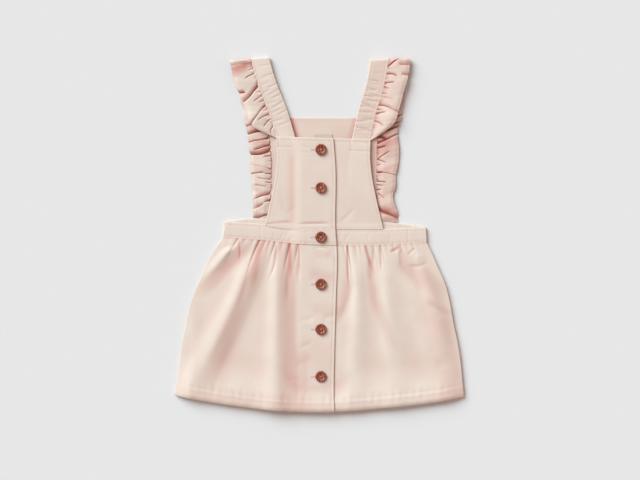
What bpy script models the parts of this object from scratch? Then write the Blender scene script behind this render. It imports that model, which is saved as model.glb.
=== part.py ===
"""A toddler's bib-front pinafore (a skirted pair of overalls), laid flat, built piece by piece.

Sizes and tables are in millimetres, and the meshes in metres. The garment lies on the plane z = 0 with
its back down: +Z points up from it, +Y to the shoulders and +X to the wearer's left. Right and left are
the wearer's, so the right front, which laps over the left one and has the buttonholes, lies at -X.
The origin is the middle of the back waistband's underside.
"""

from collections import namedtuple

import bmesh
import bpy
import numpy as np
from mathutils import Matrix

MM = 0.001
SEAM_GAP = 0.35  # between two pieces that are sewn to each other

# Walls of cloth: one layer of twill, or two where a piece is faced.
SKIRT_WALL = 1.2
BIB_WALL = 1.6
BAND_WALL = 2.2
STRAP_WALL = 1.8
RUFFLE_WALL = 1.0
LABEL_WALL = 0.6

# Heights of the middle of each wall above the surface, where the cloth lies flat.
BAND_FRONT_Z = 4.0
BIB_TOP_Z = 5.6
BIB_FOOT_Z = 4.3
BIB_SLOPE = (8.0, 60.0)  # y where the bib starts to rise from the waistband and where it is level again
SKIRT_WAIST_Z = 4.5
SKIRT_BODY_Z = 4.9
SKIRT_HEM_Z = 4.2
SIDE_SEAM_Z = 2.2
BAND_END_Z = 3.55
STRAP_FOOT_Z = 3.5
STRAP_FOLD_Z = 5.4

STRAP_FOLD_RADIUS = (STRAP_FOLD_Z - STRAP_WALL / 2) / 2

# The lap of the right front over the left one.
UNDERLAP_X = -23.4
LAP_RAMP = (-41.0, -27.0)  # x where the right front starts to rise and where it lies on the left one

# Skirt outline. share: how far down from the waist seam; right and left: x of the side seams.
Side = namedtuple("Side", "share right left")
SKIRT_SIDES = [
    Side(0.00, -125.5, 138.0),
    Side(0.08, -137.0, 145.5),
    Side(0.15, -145.0, 151.5),
    Side(0.27, -155.5, 162.0),
    Side(0.40, -166.5, 168.5),
    Side(0.53, -173.0, 173.0),
    Side(0.66, -178.0, 178.5),
    Side(0.80, -182.5, 182.5),
    Side(1.00, -188.0, 186.0),
]

# Lines that run across the garment. x: where; y: the line's height there.
Across = namedtuple("Across", "x y")
WAIST_SEAM = [
    Across(-125.5, -3.0),
    Across(-75.0, -6.5),
    Across(-26.0, -11.5),
    Across(20.0, -13.0),
    Across(78.0, -13.0),
    Across(138.0, -9.5),
]
HEM = [
    Across(-188.0, -208.5),
    Across(-156.0, -215.0),
    Across(-104.0, -223.0),
    Across(-52.0, -228.5),
    Across(10.0, -230.0),
    Across(104.0, -223.0),
    Across(156.0, -216.5),
    Across(186.0, -210.5),
]
BAND_TOP = [
    Across(-122.0, 16.5),
    Across(-75.0, 13.0),
    Across(-48.0, 8.5),
    Across(20.0, 7.6),
    Across(80.0, 7.4),
    Across(136.5, 9.0),
]
BACK_BAND_TOP = [
    Across(-122.0, 16.8),
    Across(-95.0, 20.0),
    Across(105.0, 14.0),
    Across(136.5, 9.3),
]
BIB_TOP = [Across(-56.0, 126.8), Across(17.0, 124.9), Across(65.0, 123.6)]
BACK_BIB_TOP_Y = 151.5

# The waistband's ends, at the side seams. y: where; right and left: x there.
Ends = namedtuple("Ends", "y right left")
BAND_SIDES = [Ends(-10.0, -125.5, 138.0), Ends(0.0, -125.0, 137.4), Ends(17.0, -122.0, 136.5)]

# Lines that run down the garment. y: where; x: the line's place there.
Down = namedtuple("Down", "y x")
LAP_EDGE = [
    Down(127.0, 16.8),
    Down(84.0, 19.8),
    Down(8.0, 19.5),
    Down(-26.0, 21.8),
    Down(-84.0, 20.3),
    Down(-150.0, 18.4),
    Down(-212.0, 17.6),
    Down(-231.0, 18.6),
]
BIB_RIGHT_SIDE = [
    Down(127.0, -56.0),
    Down(97.0, -55.3),
    Down(71.0, -57.9),
    Down(45.0, -63.2),
    Down(8.0, -71.8),
]
BIB_LEFT_SIDE = [
    Down(124.0, 65.0),
    Down(97.0, 64.6),
    Down(71.0, 67.6),
    Down(45.0, 73.0),
    Down(7.0, 81.8),
]

# Where each ruffle is sewn on: the strap's outer edge from the bib over the shoulder, and then the back
# bib's side. A row is a place on the seam.
Seam = namedtuple("Seam", "x y")
RIGHT_FRONT_SEAM = [
    Seam(-89.7, 228.8),
    Seam(-83.2, 204.0),
    Seam(-77.4, 187.0),
    Seam(-65.0, 155.4),
    Seam(-56.4, 127.0),
    Seam(-52.7, 113.8),
]
RIGHT_BACK_SEAM = [
    Seam(-89.7, 228.8),
    Seam(-81.9, 195.0),
    Seam(-72.2, 156.0),
    Seam(-66.3, 130.0),
    Seam(-64.0, 104.0),
    Seam(-63.7, 71.5),
    Seam(-64.8, 41.6),
    Seam(-67.6, 20.0),
]
LEFT_FRONT_SEAM = [
    Seam(89.1, 228.2),
    Seam(87.0, 211.9),
    Seam(80.0, 180.7),
    Seam(72.8, 158.0),
    Seam(65.4, 124.0),
    Seam(61.8, 110.5),
]
LEFT_BACK_SEAM = [
    Seam(89.1, 228.2),
    Seam(83.2, 188.5),
    Seam(77.4, 152.0),
    Seam(74.4, 126.0),
    Seam(73.5, 91.0),
    Seam(73.5, 52.0),
    Seam(74.1, 15.5),
]
STRAP_WIDTH = 22.6
STRAP_TUCK = 12.0  # how far a strap's end goes down behind the bib
STRAP_COLUMNS = 4
STRAP_ROWS = (14, 9, 11)  # up the front, round the fold and down the back
FOLD_TILT = 0.17  # how far the fold at the shoulder runs down for each mm towards the neck
FOLD_TILT_REACH = 30.0  # how far from the shoulder that tilt is felt

RUFFLE_TAPER = 31.0  # the length over which a ruffle narrows to its end at the bib
RUFFLE_END_WIDTH = 1.2
RUFFLE_RISE = 4.4  # how much higher than its seam the front ruffle's outer edge lies
RUFFLE_FOLD_GROWTH = 1.1  # how much wider the fold at the shoulder is at the ruffle's outer edge
RUFFLE_SHARES = (0.0, 0.22, 0.5, 0.78, 1.0)  # places across the ruffle, from its seam to its edge
RUFFLE_END_GAP = 1.0  # between a ruffle's end and the bib's corner
WAVE_SHARE = 0.17  # the height of a wave as a share of the distance to the next one
WAVE_HEIGHTS = (1.6, 2.9)  # the least and the most height at the outer edge
WAVE_AT_SEAM = 0.2  # the share of that height at the seam
WAVE_AT_TIP = 0.25  # the share of it where the ruffle has narrowed to its end
WAVE_TROUGH = 0.9  # how deep the back's troughs are, as a share of its crests; the surface flattens them
WAVE_LEAN = 0.55  # how far a wave leans down the seam, as a share of its height
WAVE_CALM = 10.0  # how near the shoulder fold, or the waistband, a wave fades
SAMPLES_PER_WAVE = 6

# The ruffles' waves, from the shoulder fold down. A row is a crest: its distance along the seam, its
# distance at the ruffle's outer edge, and how wide the ruffle is there.
Crest = namedtuple("Crest", "seam edge width")
RIGHT_FRONT_CRESTS = [
    Crest(7, 9, 26.5),
    Crest(27, 33, 26.0),
    Crest(47, 56, 23.0),
    Crest(63, 72, 25.5),
    Crest(77, 86, 27.5),
    Crest(90, 96, 27.0),
]
RIGHT_BACK_CRESTS = [
    Crest(11, 12, 25.5),
    Crest(25, 26, 25.0),
    Crest(39, 41, 25.5),
    Crest(53, 55, 25.0),
    Crest(67, 68, 26.0),
    Crest(82, 82, 26.5),
    Crest(96, 98, 27.0),
    Crest(108, 112, 27.0),
    Crest(121, 124, 27.5),
    Crest(135, 134, 26.5),
    Crest(149, 147, 27.0),
    Crest(162, 163, 25.0),
    Crest(176, 179, 24.5),
    Crest(188, 192, 22.0),
    Crest(202, 203, 19.5),
]
LEFT_FRONT_CRESTS = [
    Crest(7, 6, 26.5),
    Crest(20, 19, 27.5),
    Crest(32, 31, 26.5),
    Crest(44, 43, 25.5),
    Crest(56, 57, 25.0),
    Crest(68, 70, 26.5),
    Crest(80, 83, 25.0),
    Crest(91, 94, 24.0),
]
LEFT_BACK_CRESTS = [
    Crest(11, 10, 25.5),
    Crest(26, 25, 26.0),
    Crest(41, 41, 27.0),
    Crest(56, 57, 26.5),
    Crest(71, 72, 27.5),
    Crest(85, 83, 25.0),
    Crest(98, 96, 25.5),
    Crest(114, 113, 27.5),
    Crest(133, 134, 28.0),
    Crest(152, 152, 24.5),
    Crest(169, 167, 24.0),
    Crest(184, 180, 20.5),
    Crest(200, 205, 27.5),
]

# The skirt's large folds. Each is a crest from a top through a bend to a foot, with its own width to
# the left of the picture and to the right of it, a height, and the share of it left at the foot.
Fold = namedtuple("Fold", "top_x top_y bend_x foot_x foot_y width_west width_east height left_at_foot")
SKIRT_FOLDS = [
    Fold(-112, -12, -134, -158, -62, 13, 9, 2.6, 0.2),
    Fold(-89, -12, -124, -166, -206, 21, 13, 4.8, 0.5),
    Fold(-58, -14, -60, -66, -228, 17, 17, 4.8, 0.7),
    Fold(46, -16, 48, 38, -222, 12, 14, 2.4, 0.4),
    Fold(84, -14, 90, 102, -220, 14, 17, 2.2, 0.5),
    Fold(118, -12, 152, 168, -190, 15, 12, 3.0, 0.4),
]

# Gathers of the skirt's front, from the placket to the side seam. A row is a valley between two puffs:
# its x at the waist seam, how deep it is there, and how far down it runs.
Gather = namedtuple("Gather", "x depth length")
RIGHT_GATHERS = [
    Gather(-29.0, 1.0, 24),
    Gather(-37.5, 1.3, 38),
    Gather(-48.0, 0.8, 18),
    Gather(-55.5, 0.7, 14),
    Gather(-61.0, 0.6, 12),
    Gather(-67.0, 0.8, 16),
    Gather(-72.5, 0.6, 12),
    Gather(-79.0, 1.3, 45),
    Gather(-87.0, 0.6, 10),
    Gather(-95.0, 0.6, 12),
    Gather(-106.0, 1.0, 26),
    Gather(-112.0, 0.5, 12),
    Gather(-118.0, 0.3, 9),
]
LEFT_GATHERS = [
    Gather(29.0, 0.8, 22),
    Gather(35.5, 1.3, 40),
    Gather(41.5, 0.6, 14),
    Gather(47.0, 0.6, 12),
    Gather(57.0, 0.8, 18),
    Gather(62.5, 0.7, 16),
    Gather(69.0, 0.6, 14),
    Gather(77.5, 1.2, 38),
    Gather(84.5, 0.6, 14),
    Gather(92.0, 0.6, 10),
    Gather(98.5, 0.7, 14),
    Gather(104.0, 1.0, 26),
    Gather(115.5, 0.6, 12),
    Gather(122.0, 0.6, 16),
    Gather(127.5, 0.4, 10),
    Gather(132.0, 0.3, 8),
]
PUFF_SHARE = 0.6  # how high a puff stands, as a share of its valley's depth
BACK_GATHERS = 30
BACK_GATHER_HEIGHT = 0.8
BACK_GATHER_LENGTH = 18.0
PLACKET_X = 24.0  # on each side of the middle, the flat stretch that the gathers start from
PLACKET_COLUMNS = 5
SKIRT_LENGTH = 216.0
SKIRT_ROWS = (0.0, 0.022, 0.05, 0.09, 0.15, 0.24, 0.36, 0.50, 0.65, 0.80, 0.93, 1.0)
BACK_ROWS = (0.0, 0.03, 0.07, 0.13, 0.24, 0.42, 0.70, 1.0)
SIDE_SLOPE = 34.0  # how far in from a side seam the front reaches its full height
SIDE_CALM = 25.0  # how far in from a side seam the gathers reach their full depth

# Columns and rows of the walls that are nearly flat.
BAND_GRID = (22, 4)
BACK_BAND_GRID = (30, 4)
BIB_GRID = (14, 13)
BACK_BIB_GRID = (16, 12)

BUTTON_X = 1.2
BUTTON_YS = (110.5, 61.0, -2.8, -63.7, -122.2, -183.3)
BUTTON_RADIUS = 7.3
BUTTON_HOLE_RADIUS = 0.85
BUTTON_HOLE_OFFSET = 1.55  # from the button's middle, along x and along y
BUTTON_HOLE_SIDES = 8
BUTTON_SIDES = 20
DRILL_LENGTH = 8.0
SHARP_ANGLE = 0.6  # radians between two faces past which their edge is shaded sharp
# A button's turned section. out: radius; up: height above its underside.
Turn = namedtuple("Turn", "out up")
BUTTON_SECTION = [
    Turn(0.0, 1.7),
    Turn(4.1, 1.7),
    Turn(5.0, 2.5),
    Turn(6.4, 2.7),
    Turn(7.3, 2.0),
    Turn(7.0, 0.9),
    Turn(5.2, 0.0),
    Turn(0.0, 0.0),
]

LABEL_WIDTH = 23.0
LABEL_HEIGHT = 12.0
LABEL_CENTRE = (4.2, 125.0)

COTTON = ("pale pink cotton twill", (0.80, 0.64, 0.57), 0.9, 0.0)
BUTTON_BROWN = ("red-brown moulded button", (0.25, 0.09, 0.06), 0.35, 0.0)
LABEL_WHITE = ("white woven tape", (0.85, 0.84, 0.80), 0.8, 0.0)


def clear_scene():
    for thing in list(bpy.data.objects):
        bpy.data.objects.remove(thing)


def material(finish):
    name, colour, roughness, metallic = finish
    made = bpy.data.materials.get(name) or bpy.data.materials.new(name)
    made.use_nodes = True
    shader = made.node_tree.nodes["Principled BSDF"]
    shader.inputs["Base Color"].default_value = (*colour, 1.0)
    shader.inputs["Roughness"].default_value = roughness
    shader.inputs["Metallic"].default_value = metallic
    return made


def smooth(low, high, x):
    """0 below low, 1 above high, and an S-curve between."""
    share = np.clip((x - low) / (high - low), 0.0, 1.0)
    return share * share * (3 - 2 * share)


def curve_through(xs, ys, x):
    """A smooth curve through the points (xs, ys), read at x: cubic pieces whose slope at each point is
    the mean of the slopes beside it."""
    xs, ys = np.asarray(xs, float), np.asarray(ys, float)
    x = np.clip(x, xs[0], xs[-1])
    steps = np.diff(ys) / np.diff(xs)
    slopes = np.concatenate([steps[:1], (steps[:-1] + steps[1:]) / 2, steps[-1:]])
    i = np.clip(np.searchsorted(xs, x) - 1, 0, len(xs) - 2)
    width = xs[i + 1] - xs[i]
    t = (x - xs[i]) / width
    return (
        ys[i] * (1 + 2 * t) * (1 - t) ** 2
        + ys[i + 1] * t * t * (3 - 2 * t)
        + width * slopes[i] * t * (1 - t) ** 2
        - width * slopes[i + 1] * t * t * (1 - t)
    )


def read(table, key, value, at):
    """The column value of a table at the place at, where the column key says where its rows are."""
    rows = sorted(table, key=lambda row: getattr(row, key))
    return curve_through([getattr(r, key) for r in rows], [getattr(r, value) for r in rows], at)


def seam_distances(seam):
    """The distance along the seam from its first row to each row."""
    x, y = np.array([row.x for row in seam]), np.array([row.y for row in seam])
    return np.concatenate([[0.0], np.cumsum(np.hypot(np.diff(x), np.diff(y)))])


def along_seam(seam, distance):
    """Points (x, y) at these distances from the seam's first row, and the direction of the seam there.
    Past its ends the seam goes straight on."""
    reached = seam_distances(seam)
    inside = np.clip(distance, 0.0, reached[-1])

    def at(d):
        return np.stack([curve_through(reached, [getattr(s, k) for s in seam], d) for k in "xy"], axis=-1)

    ahead, behind = at(np.minimum(inside + 0.5, reached[-1])), at(np.maximum(inside - 0.5, 0.0))
    direction = ahead - behind
    direction = direction / np.linalg.norm(direction, axis=-1, keepdims=True)
    return at(inside) + direction * (distance - inside)[..., None], direction


def cloth(name, points, wall, finish=COTTON):
    """A wall of cloth on both sides of a surface. points is a grid of columns, rows and x, y, z."""
    columns, rows = points.shape[:2]
    corner = np.arange(columns * rows).reshape(columns, rows)
    faces = np.stack(
        [corner[:-1, :-1], corner[:-1, 1:], corner[1:, 1:], corner[1:, :-1]], axis=-1
    ).reshape(-1, 4)
    mesh = bpy.data.meshes.new(name)
    mesh.from_pydata((points.reshape(-1, 3) * MM).tolist(), [], faces.tolist())
    mesh.materials.append(material(finish))
    mesh.shade_smooth()
    piece = bpy.data.objects.new(name, mesh)
    bpy.context.scene.collection.objects.link(piece)
    wall_modifier = piece.modifiers.new("Wall", "SOLIDIFY")
    wall_modifier.thickness = wall * MM
    wall_modifier.offset = 0.0
    return piece


def fold_height(fold, x, y):
    """Height that one fold adds: a bell across its crest, which rises from its top and sinks to its foot."""
    down = np.clip((fold.top_y - y) / (fold.top_y - fold.foot_y), 0.0, 1.2)
    straight = fold.top_x + (fold.foot_x - fold.top_x) * down
    bulge = fold.bend_x - (fold.top_x + fold.foot_x) / 2
    aside = x - (straight + 4 * bulge * down * (1 - down))
    spread = 0.55 + 0.6 * np.minimum(down, 1.0)
    width = np.where(aside < 0, fold.width_west, fold.width_east) * spread
    fade = 1 - (1 - fold.left_at_foot) * smooth(0.55, 1.05, down)
    return fold.height * np.exp(-((aside / width) ** 2)) * smooth(0.0, 0.22, down) * fade


def gather_height(gathers, side_x, waist_x, below):
    """Height that the gathers add, below the place waist_x on the waist seam: a wave with its valleys at
    the table's rows, which dies away down the skirt."""
    start = np.sign(side_x) * PLACKET_X
    rows = [Gather(start, 0.0, gathers[0].length), *gathers, Gather(side_x, 0.0, gathers[-1].length)]
    rows.sort(key=lambda row: row.x)
    x, depth, length = (np.array(column, float) for column in zip(*rows))
    place = np.arange(len(rows), dtype=float)
    place[0], place[-1] = 0.5, len(rows) - 1.5
    wave = np.cos(2 * np.pi * np.interp(waist_x, x, place))
    height = -(wave * (1 + PUFF_SHARE) + 1 - PUFF_SHARE) / 2 * np.interp(waist_x, x, depth)
    return height * np.exp(-((below / np.interp(waist_x, x, length)) ** 2))


def skirt_front_z(x, y, below, side_distance):
    """Height of the wall's middle on the skirt's front, without its gathers and its lap."""
    share = np.clip(below / SKIRT_LENGTH, 0.0, 1.0)
    base = SKIRT_WAIST_Z + (SKIRT_BODY_Z - SKIRT_WAIST_Z) * smooth(0.0, 0.35, share)
    base = base + (SKIRT_HEM_Z - SKIRT_BODY_Z) * smooth(0.45, 1.0, share)
    folds = sum(fold_height(fold, x, y) for fold in SKIRT_FOLDS)
    inward = np.sqrt(smooth(0.0, SIDE_SLOPE, side_distance))
    return SIDE_SEAM_Z + (base - SIDE_SEAM_Z + folds) * inward


def lap_rise(x, wall):
    """How far the right front is lifted where it lies on the left one."""
    return (wall + SEAM_GAP) * smooth(*LAP_RAMP, x)


def bib_z(y):
    """Height of the middle of the bib's front wall, without its lap: higher over the straps' ends."""
    return BIB_FOOT_Z + (BIB_TOP_Z - BIB_FOOT_Z) * smooth(*BIB_SLOPE, y)


def skirt_front(name, edge_x_at, side, gathers, lifted):
    """Half of the skirt's front, from its placket edge to its side seam. Its columns lie on the crests
    and in the valleys of its gathers, and fan out to the hem."""
    waist_side = read(SKIRT_SIDES, "share", side, 0.0)
    hem_side = read(SKIRT_SIDES, "share", side, 1.0)
    waist_edge = edge_x_at(read(WAIST_SEAM, "x", "y", 0.0))
    hem_edge = edge_x_at(read(HEM, "x", "y", 0.0))
    valleys = np.array([row.x for row in gathers])
    puffs = (valleys[1:] + valleys[:-1]) / 2
    start = np.sign(waist_side) * PLACKET_X
    placket = np.linspace(waist_edge, start, PLACKET_COLUMNS)
    waist_x = np.concatenate([placket, valleys, puffs, [waist_side]])
    waist_x = waist_x[np.argsort(np.abs(waist_x - waist_edge))][:, None]
    across = (waist_x - waist_edge) / (waist_side - waist_edge)

    share = np.array(SKIRT_ROWS)[None, :]
    waist_y = read(WAIST_SEAM, "x", "y", waist_x) - SEAM_GAP
    y = waist_y + (read(HEM, "x", "y", hem_edge + (hem_side - hem_edge) * across) - waist_y) * share
    edge_x, side_x = edge_x_at(y), read(SKIRT_SIDES, "share", side, share)
    x = edge_x + (side_x - edge_x) * across
    side_distance = np.abs(side_x - x)
    waves = gather_height(gathers, waist_side, waist_x, waist_y - y)
    z = skirt_front_z(x, y, waist_y - y, side_distance) + waves * smooth(0.0, SIDE_CALM, side_distance)
    if lifted:
        z = z + lap_rise(x, SKIRT_WALL)
    points = np.stack([x, y, z], axis=-1)
    return cloth(name, points if waist_side > 0 else points[::-1], SKIRT_WALL)


def skirt_back():
    """The skirt's back in one piece, gathered all the way along the back waistband."""
    phase = np.arange(0.0, BACK_GATHERS + 0.25, 0.5)[:, None]
    across = phase / BACK_GATHERS
    share = np.array(BACK_ROWS)[None, :]
    right_x = read(SKIRT_SIDES, "share", "right", share)
    left_x = read(SKIRT_SIDES, "share", "left", share)
    x = right_x + (left_x - right_x) * across
    waist_y = read(WAIST_SEAM, "x", "y", x[:, :1]) - SEAM_GAP
    y = waist_y + (read(HEM, "x", "y", x[:, -1:]) - waist_y) * share
    fade = np.exp(-(((waist_y - y) / BACK_GATHER_LENGTH) ** 2))
    inside = smooth(0.0, SIDE_CALM, np.minimum(x - right_x, left_x - x))
    wave = np.maximum(np.cos(2 * np.pi * phase), 0.0) * BACK_GATHER_HEIGHT * fade * inside
    return cloth("skirt_back", np.stack([x, y, SKIRT_WALL / 2 + wave], axis=-1), SKIRT_WALL)


def grid(size):
    """Shares across and up a wall with this many columns and rows."""
    columns, rows = size
    return np.linspace(0.0, 1.0, columns)[:, None], np.linspace(0.0, 1.0, rows)[None, :]


def waistband_front(name, first_x, last_x, lifted):
    """Half of the front waistband. first_x and last_x give its ends at the height y, west and east."""
    across, up = grid(BAND_GRID)
    x = first_x(0.0) + (last_x(0.0) - first_x(0.0)) * across
    low, high = read(WAIST_SEAM, "x", "y", x), read(BAND_TOP, "x", "y", x)
    y = low + (high - low) * up
    x = first_x(y) + (last_x(y) - first_x(y)) * across
    side_distance = np.minimum(x - band_side_right(y), band_side_left(y) - x)
    z = BAND_END_Z + (BAND_FRONT_Z - BAND_END_Z) * smooth(0.0, SIDE_CALM, side_distance)
    if lifted:
        z = z + lap_rise(x, BAND_WALL)
    return cloth(name, np.stack([x, y, z], axis=-1), BAND_WALL)


def waistband_back():
    across, up = grid(BACK_BAND_GRID)
    x = band_side_right(0.0) + (band_side_left(0.0) - band_side_right(0.0)) * across
    low, high = read(WAIST_SEAM, "x", "y", x), read(BACK_BAND_TOP, "x", "y", x)
    y = low + (high - low) * up
    x = x + 0 * y
    return cloth("waistband_back", np.stack([x, y, BAND_WALL / 2 + 0 * y], axis=-1), BAND_WALL)


def band_side_right(y):
    """x of the waistband's end at the wearer's right side seam."""
    return read(BAND_SIDES, "y", "right", y)


def band_side_left(y):
    return read(BAND_SIDES, "y", "left", y)


def lap_edge(y):
    """x of the right front's edge, which lies on the left front."""
    return read(LAP_EDGE, "y", "x", y)


def underlap_edge(y):
    """x of the left front's edge, which the right front hides."""
    return UNDERLAP_X + 0 * y


def bib_side_right(y):
    return read(BIB_RIGHT_SIDE, "y", "x", y)


def bib_side_left(y):
    return read(BIB_LEFT_SIDE, "y", "x", y)


def bib_front(name, first_x, last_x, lifted):
    """Half of the bib, from the waistband to its top edge. first_x and last_x give its sides, west and
    east."""
    across, up = grid(BIB_GRID)
    foot_y, top_y = BAND_TOP[-1].y, BIB_TOP[0].y
    foot_x = first_x(foot_y) + (last_x(foot_y) - first_x(foot_y)) * across
    top_x = first_x(top_y) + (last_x(top_y) - first_x(top_y)) * across
    low = read(BAND_TOP, "x", "y", foot_x) + SEAM_GAP
    y = low + (read(BIB_TOP, "x", "y", top_x) - low) * up
    x = first_x(y) + (last_x(y) - first_x(y)) * across
    z = bib_z(y)
    if lifted:
        z = z + lap_rise(x, BIB_WALL)
    return cloth(name, np.stack([x, y, z], axis=-1), BIB_WALL)


def bib_back():
    """The back bib, between the two ruffles' seams, from the back waistband to its top edge."""
    across, up = grid(BACK_BIB_GRID)
    foot_right, foot_left = RIGHT_BACK_SEAM[-1].x, LEFT_BACK_SEAM[-1].x
    low = read(BACK_BAND_TOP, "x", "y", foot_right + (foot_left - foot_right) * across) + SEAM_GAP
    y = low + (BACK_BIB_TOP_Y - low) * up
    west = read(RIGHT_BACK_SEAM, "y", "x", y) + SEAM_GAP / 2
    east = read(LEFT_BACK_SEAM, "y", "x", y) - SEAM_GAP / 2
    x = west + (east - west) * across
    return cloth("bib_back", np.stack([x, y, BIB_WALL / 2 + 0 * y], axis=-1), BIB_WALL)


def folded_over(front_seam, back_seam, path, fold_radius, front_z, back_z, outward):
    """Points of a ribbon that comes up the front, folds over at the shoulder and goes down the back.

    path: distance along the ribbon from the top of the fold, negative on the front. The fold is half a
    circle of fold_radius between the heights front_z and back_z. outward: how far out from the seam.
    """
    quarter = np.pi / 2 * fold_radius
    turn = np.clip(path / quarter, -1.0, 1.0) * np.pi / 2
    down = fold_radius * (1 - np.cos(turn)) + np.maximum(np.abs(path) - quarter, 0.0)
    front, front_way = along_seam(front_seam, down)
    back, back_way = along_seam(back_seam, down)
    on_front = (path < 0)[..., None]
    place = np.where(on_front, front, back)
    way = np.where(on_front, front_way, back_way)
    away = np.stack([way[..., 1], -way[..., 0]], axis=-1)
    away = away * np.sign(front_seam[0].x) * np.sign(away[..., :1])
    tilt = -FOLD_TILT * outward * np.exp(-((down / FOLD_TILT_REACH) ** 2))
    place = place + away * outward[..., None] + way * tilt[..., None]
    z = (front_z + back_z) / 2 - (front_z - back_z) / 2 * np.sin(turn)
    return np.concatenate([place, z[..., None]], axis=-1), way


def path_end(seam_length, fold_radius):
    """The distance along the ribbon at which it has covered this length of the seam."""
    return seam_length + (np.pi / 2 - 1) * fold_radius


def strap_front_z(down, front_length):
    """Height of the middle of the strap's front leg at this distance from the shoulder."""
    return STRAP_FOLD_Z + (STRAP_FOOT_Z - STRAP_FOLD_Z) * smooth(0.15, 0.9, down / front_length)


def seam_length_to(seam, y):
    """The length of a seam down to the height y."""
    return float(np.interp(-y, [-row.y for row in seam], seam_distances(seam)))


def strap(name, front_seam, back_seam):
    """A shoulder strap, from behind the bib's top edge over the shoulder to the back bib's top edge."""
    front_length = seam_distances(front_seam)[-1]
    back_length = seam_length_to(back_seam, BACK_BIB_TOP_Y + SEAM_GAP)
    quarter = np.pi / 2 * STRAP_FOLD_RADIUS
    front_rows, fold_rows, back_rows = STRAP_ROWS
    rows = [
        np.linspace(-path_end(front_length, STRAP_FOLD_RADIUS), -quarter, front_rows, endpoint=False),
        np.linspace(-quarter, quarter, fold_rows),
        np.linspace(quarter, path_end(back_length, STRAP_FOLD_RADIUS), back_rows)[1:],
    ]
    across = np.linspace(0.0, 1.0, STRAP_COLUMNS)[None, :]
    path, across = np.broadcast_arrays(np.concatenate(rows)[:, None], across)
    front_z = strap_front_z(np.abs(path), front_length)
    back_z = np.full_like(path, STRAP_WALL / 2)
    outward = -STRAP_WIDTH * across - SEAM_GAP / 2
    points, _ = folded_over(front_seam, back_seam, path, STRAP_FOLD_RADIUS, front_z, back_z, outward)
    above_bib = np.maximum(points[..., 1], BACK_BIB_TOP_Y + SEAM_GAP)
    points[..., 1] = np.where(path > quarter, above_bib, points[..., 1])
    return cloth(name, points if front_seam[0].x < 0 else points[:, ::-1], STRAP_WALL)


def ruffle_waves(front_crests, back_crests, path, share):
    """The phase of the wave, whole on each crest, the spacing of the crests, and the ruffle's width. The
    wave goes on evenly past the first and the last crest."""
    front = [Crest(-row.seam, -row.edge, row.width) for row in reversed(front_crests)]
    rows = np.array(front + list(back_crests), float)
    rows = np.concatenate([2 * rows[:1] - rows[2:3], rows, 2 * rows[-1:] - rows[-3:-2]])
    number = np.concatenate([[-2.0], np.arange(len(rows) - 2.0), [len(rows) - 1.0]])
    at_seam, at_edge = np.interp(path, rows[:, 0], number), np.interp(path, rows[:, 1], number)
    phase = at_seam + (at_edge - at_seam) * share
    spacing = np.interp(path, (rows[1:, 0] + rows[:-1, 0]) / 2, np.diff(rows[:, 0]) / np.diff(number))
    width = np.interp(path, rows[1:-1, 0], rows[1:-1, 2])
    return phase, spacing, width


def ruffle(name, front_seam, back_seam, front_crests, back_crests):
    """A gathered strip along the strap's outer edge and the back bib's side, with its waves."""
    front_length = seam_distances(front_seam)[-1] - STRAP_TUCK - RUFFLE_END_GAP
    back_length = seam_distances(back_seam)[-1]
    waves = len(front_crests) + len(back_crests)
    start, end = -path_end(front_length, STRAP_FOLD_RADIUS), path_end(back_length, STRAP_FOLD_RADIUS)
    path = np.linspace(start, end, waves * SAMPLES_PER_WAVE)[:, None]
    path, share = np.broadcast_arrays(path, np.array(RUFFLE_SHARES)[None, :])
    phase, spacing, full_width = ruffle_waves(front_crests, back_crests, path, share)

    taper = np.sin(np.pi / 2 * np.clip((path - start) / RUFFLE_TAPER, 0.0, 1.0))
    width = RUFFLE_END_WIDTH + (full_width - RUFFLE_END_WIDTH) * taper
    radius = STRAP_FOLD_RADIUS + RUFFLE_FOLD_GROWTH * smooth(0.0, 1.0, share)
    lift = RUFFLE_RISE * smooth(0.0, 0.8, share) * taper
    front_z = strap_front_z(np.abs(path), front_length) + lift

    size = np.clip(WAVE_SHARE * spacing, *WAVE_HEIGHTS)
    size = size * (WAVE_AT_SEAM + (1 - WAVE_AT_SEAM) * share) * (WAVE_AT_TIP + (1 - WAVE_AT_TIP) * taper)
    size = size * smooth(0.0, WAVE_CALM, np.abs(path)) * smooth(-WAVE_CALM / 2, WAVE_CALM, end - path)
    wave = size * np.cos(2 * np.pi * phase)
    back_z = RUFFLE_WALL / 2 + np.maximum(WAVE_TROUGH * size + np.where(path > 0, wave, 0.0), 0.0)
    front_z = front_z + np.where(path < 0, wave, 0.0)
    outward = SEAM_GAP / 2 + width * share
    points, way = folded_over(front_seam, back_seam, path, radius, front_z, back_z, outward)
    points[..., :2] += way * (WAVE_LEAN * wave * share)[..., None]
    foot = read(BACK_BAND_TOP, "x", "y", points[..., 0]) + SEAM_GAP
    points[..., 1] = np.where(path > 0, np.maximum(points[..., 1], foot), points[..., 1])
    return cloth(name, points[:, ::-1] if front_seam[0].x < 0 else points, RUFFLE_WALL)


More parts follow.
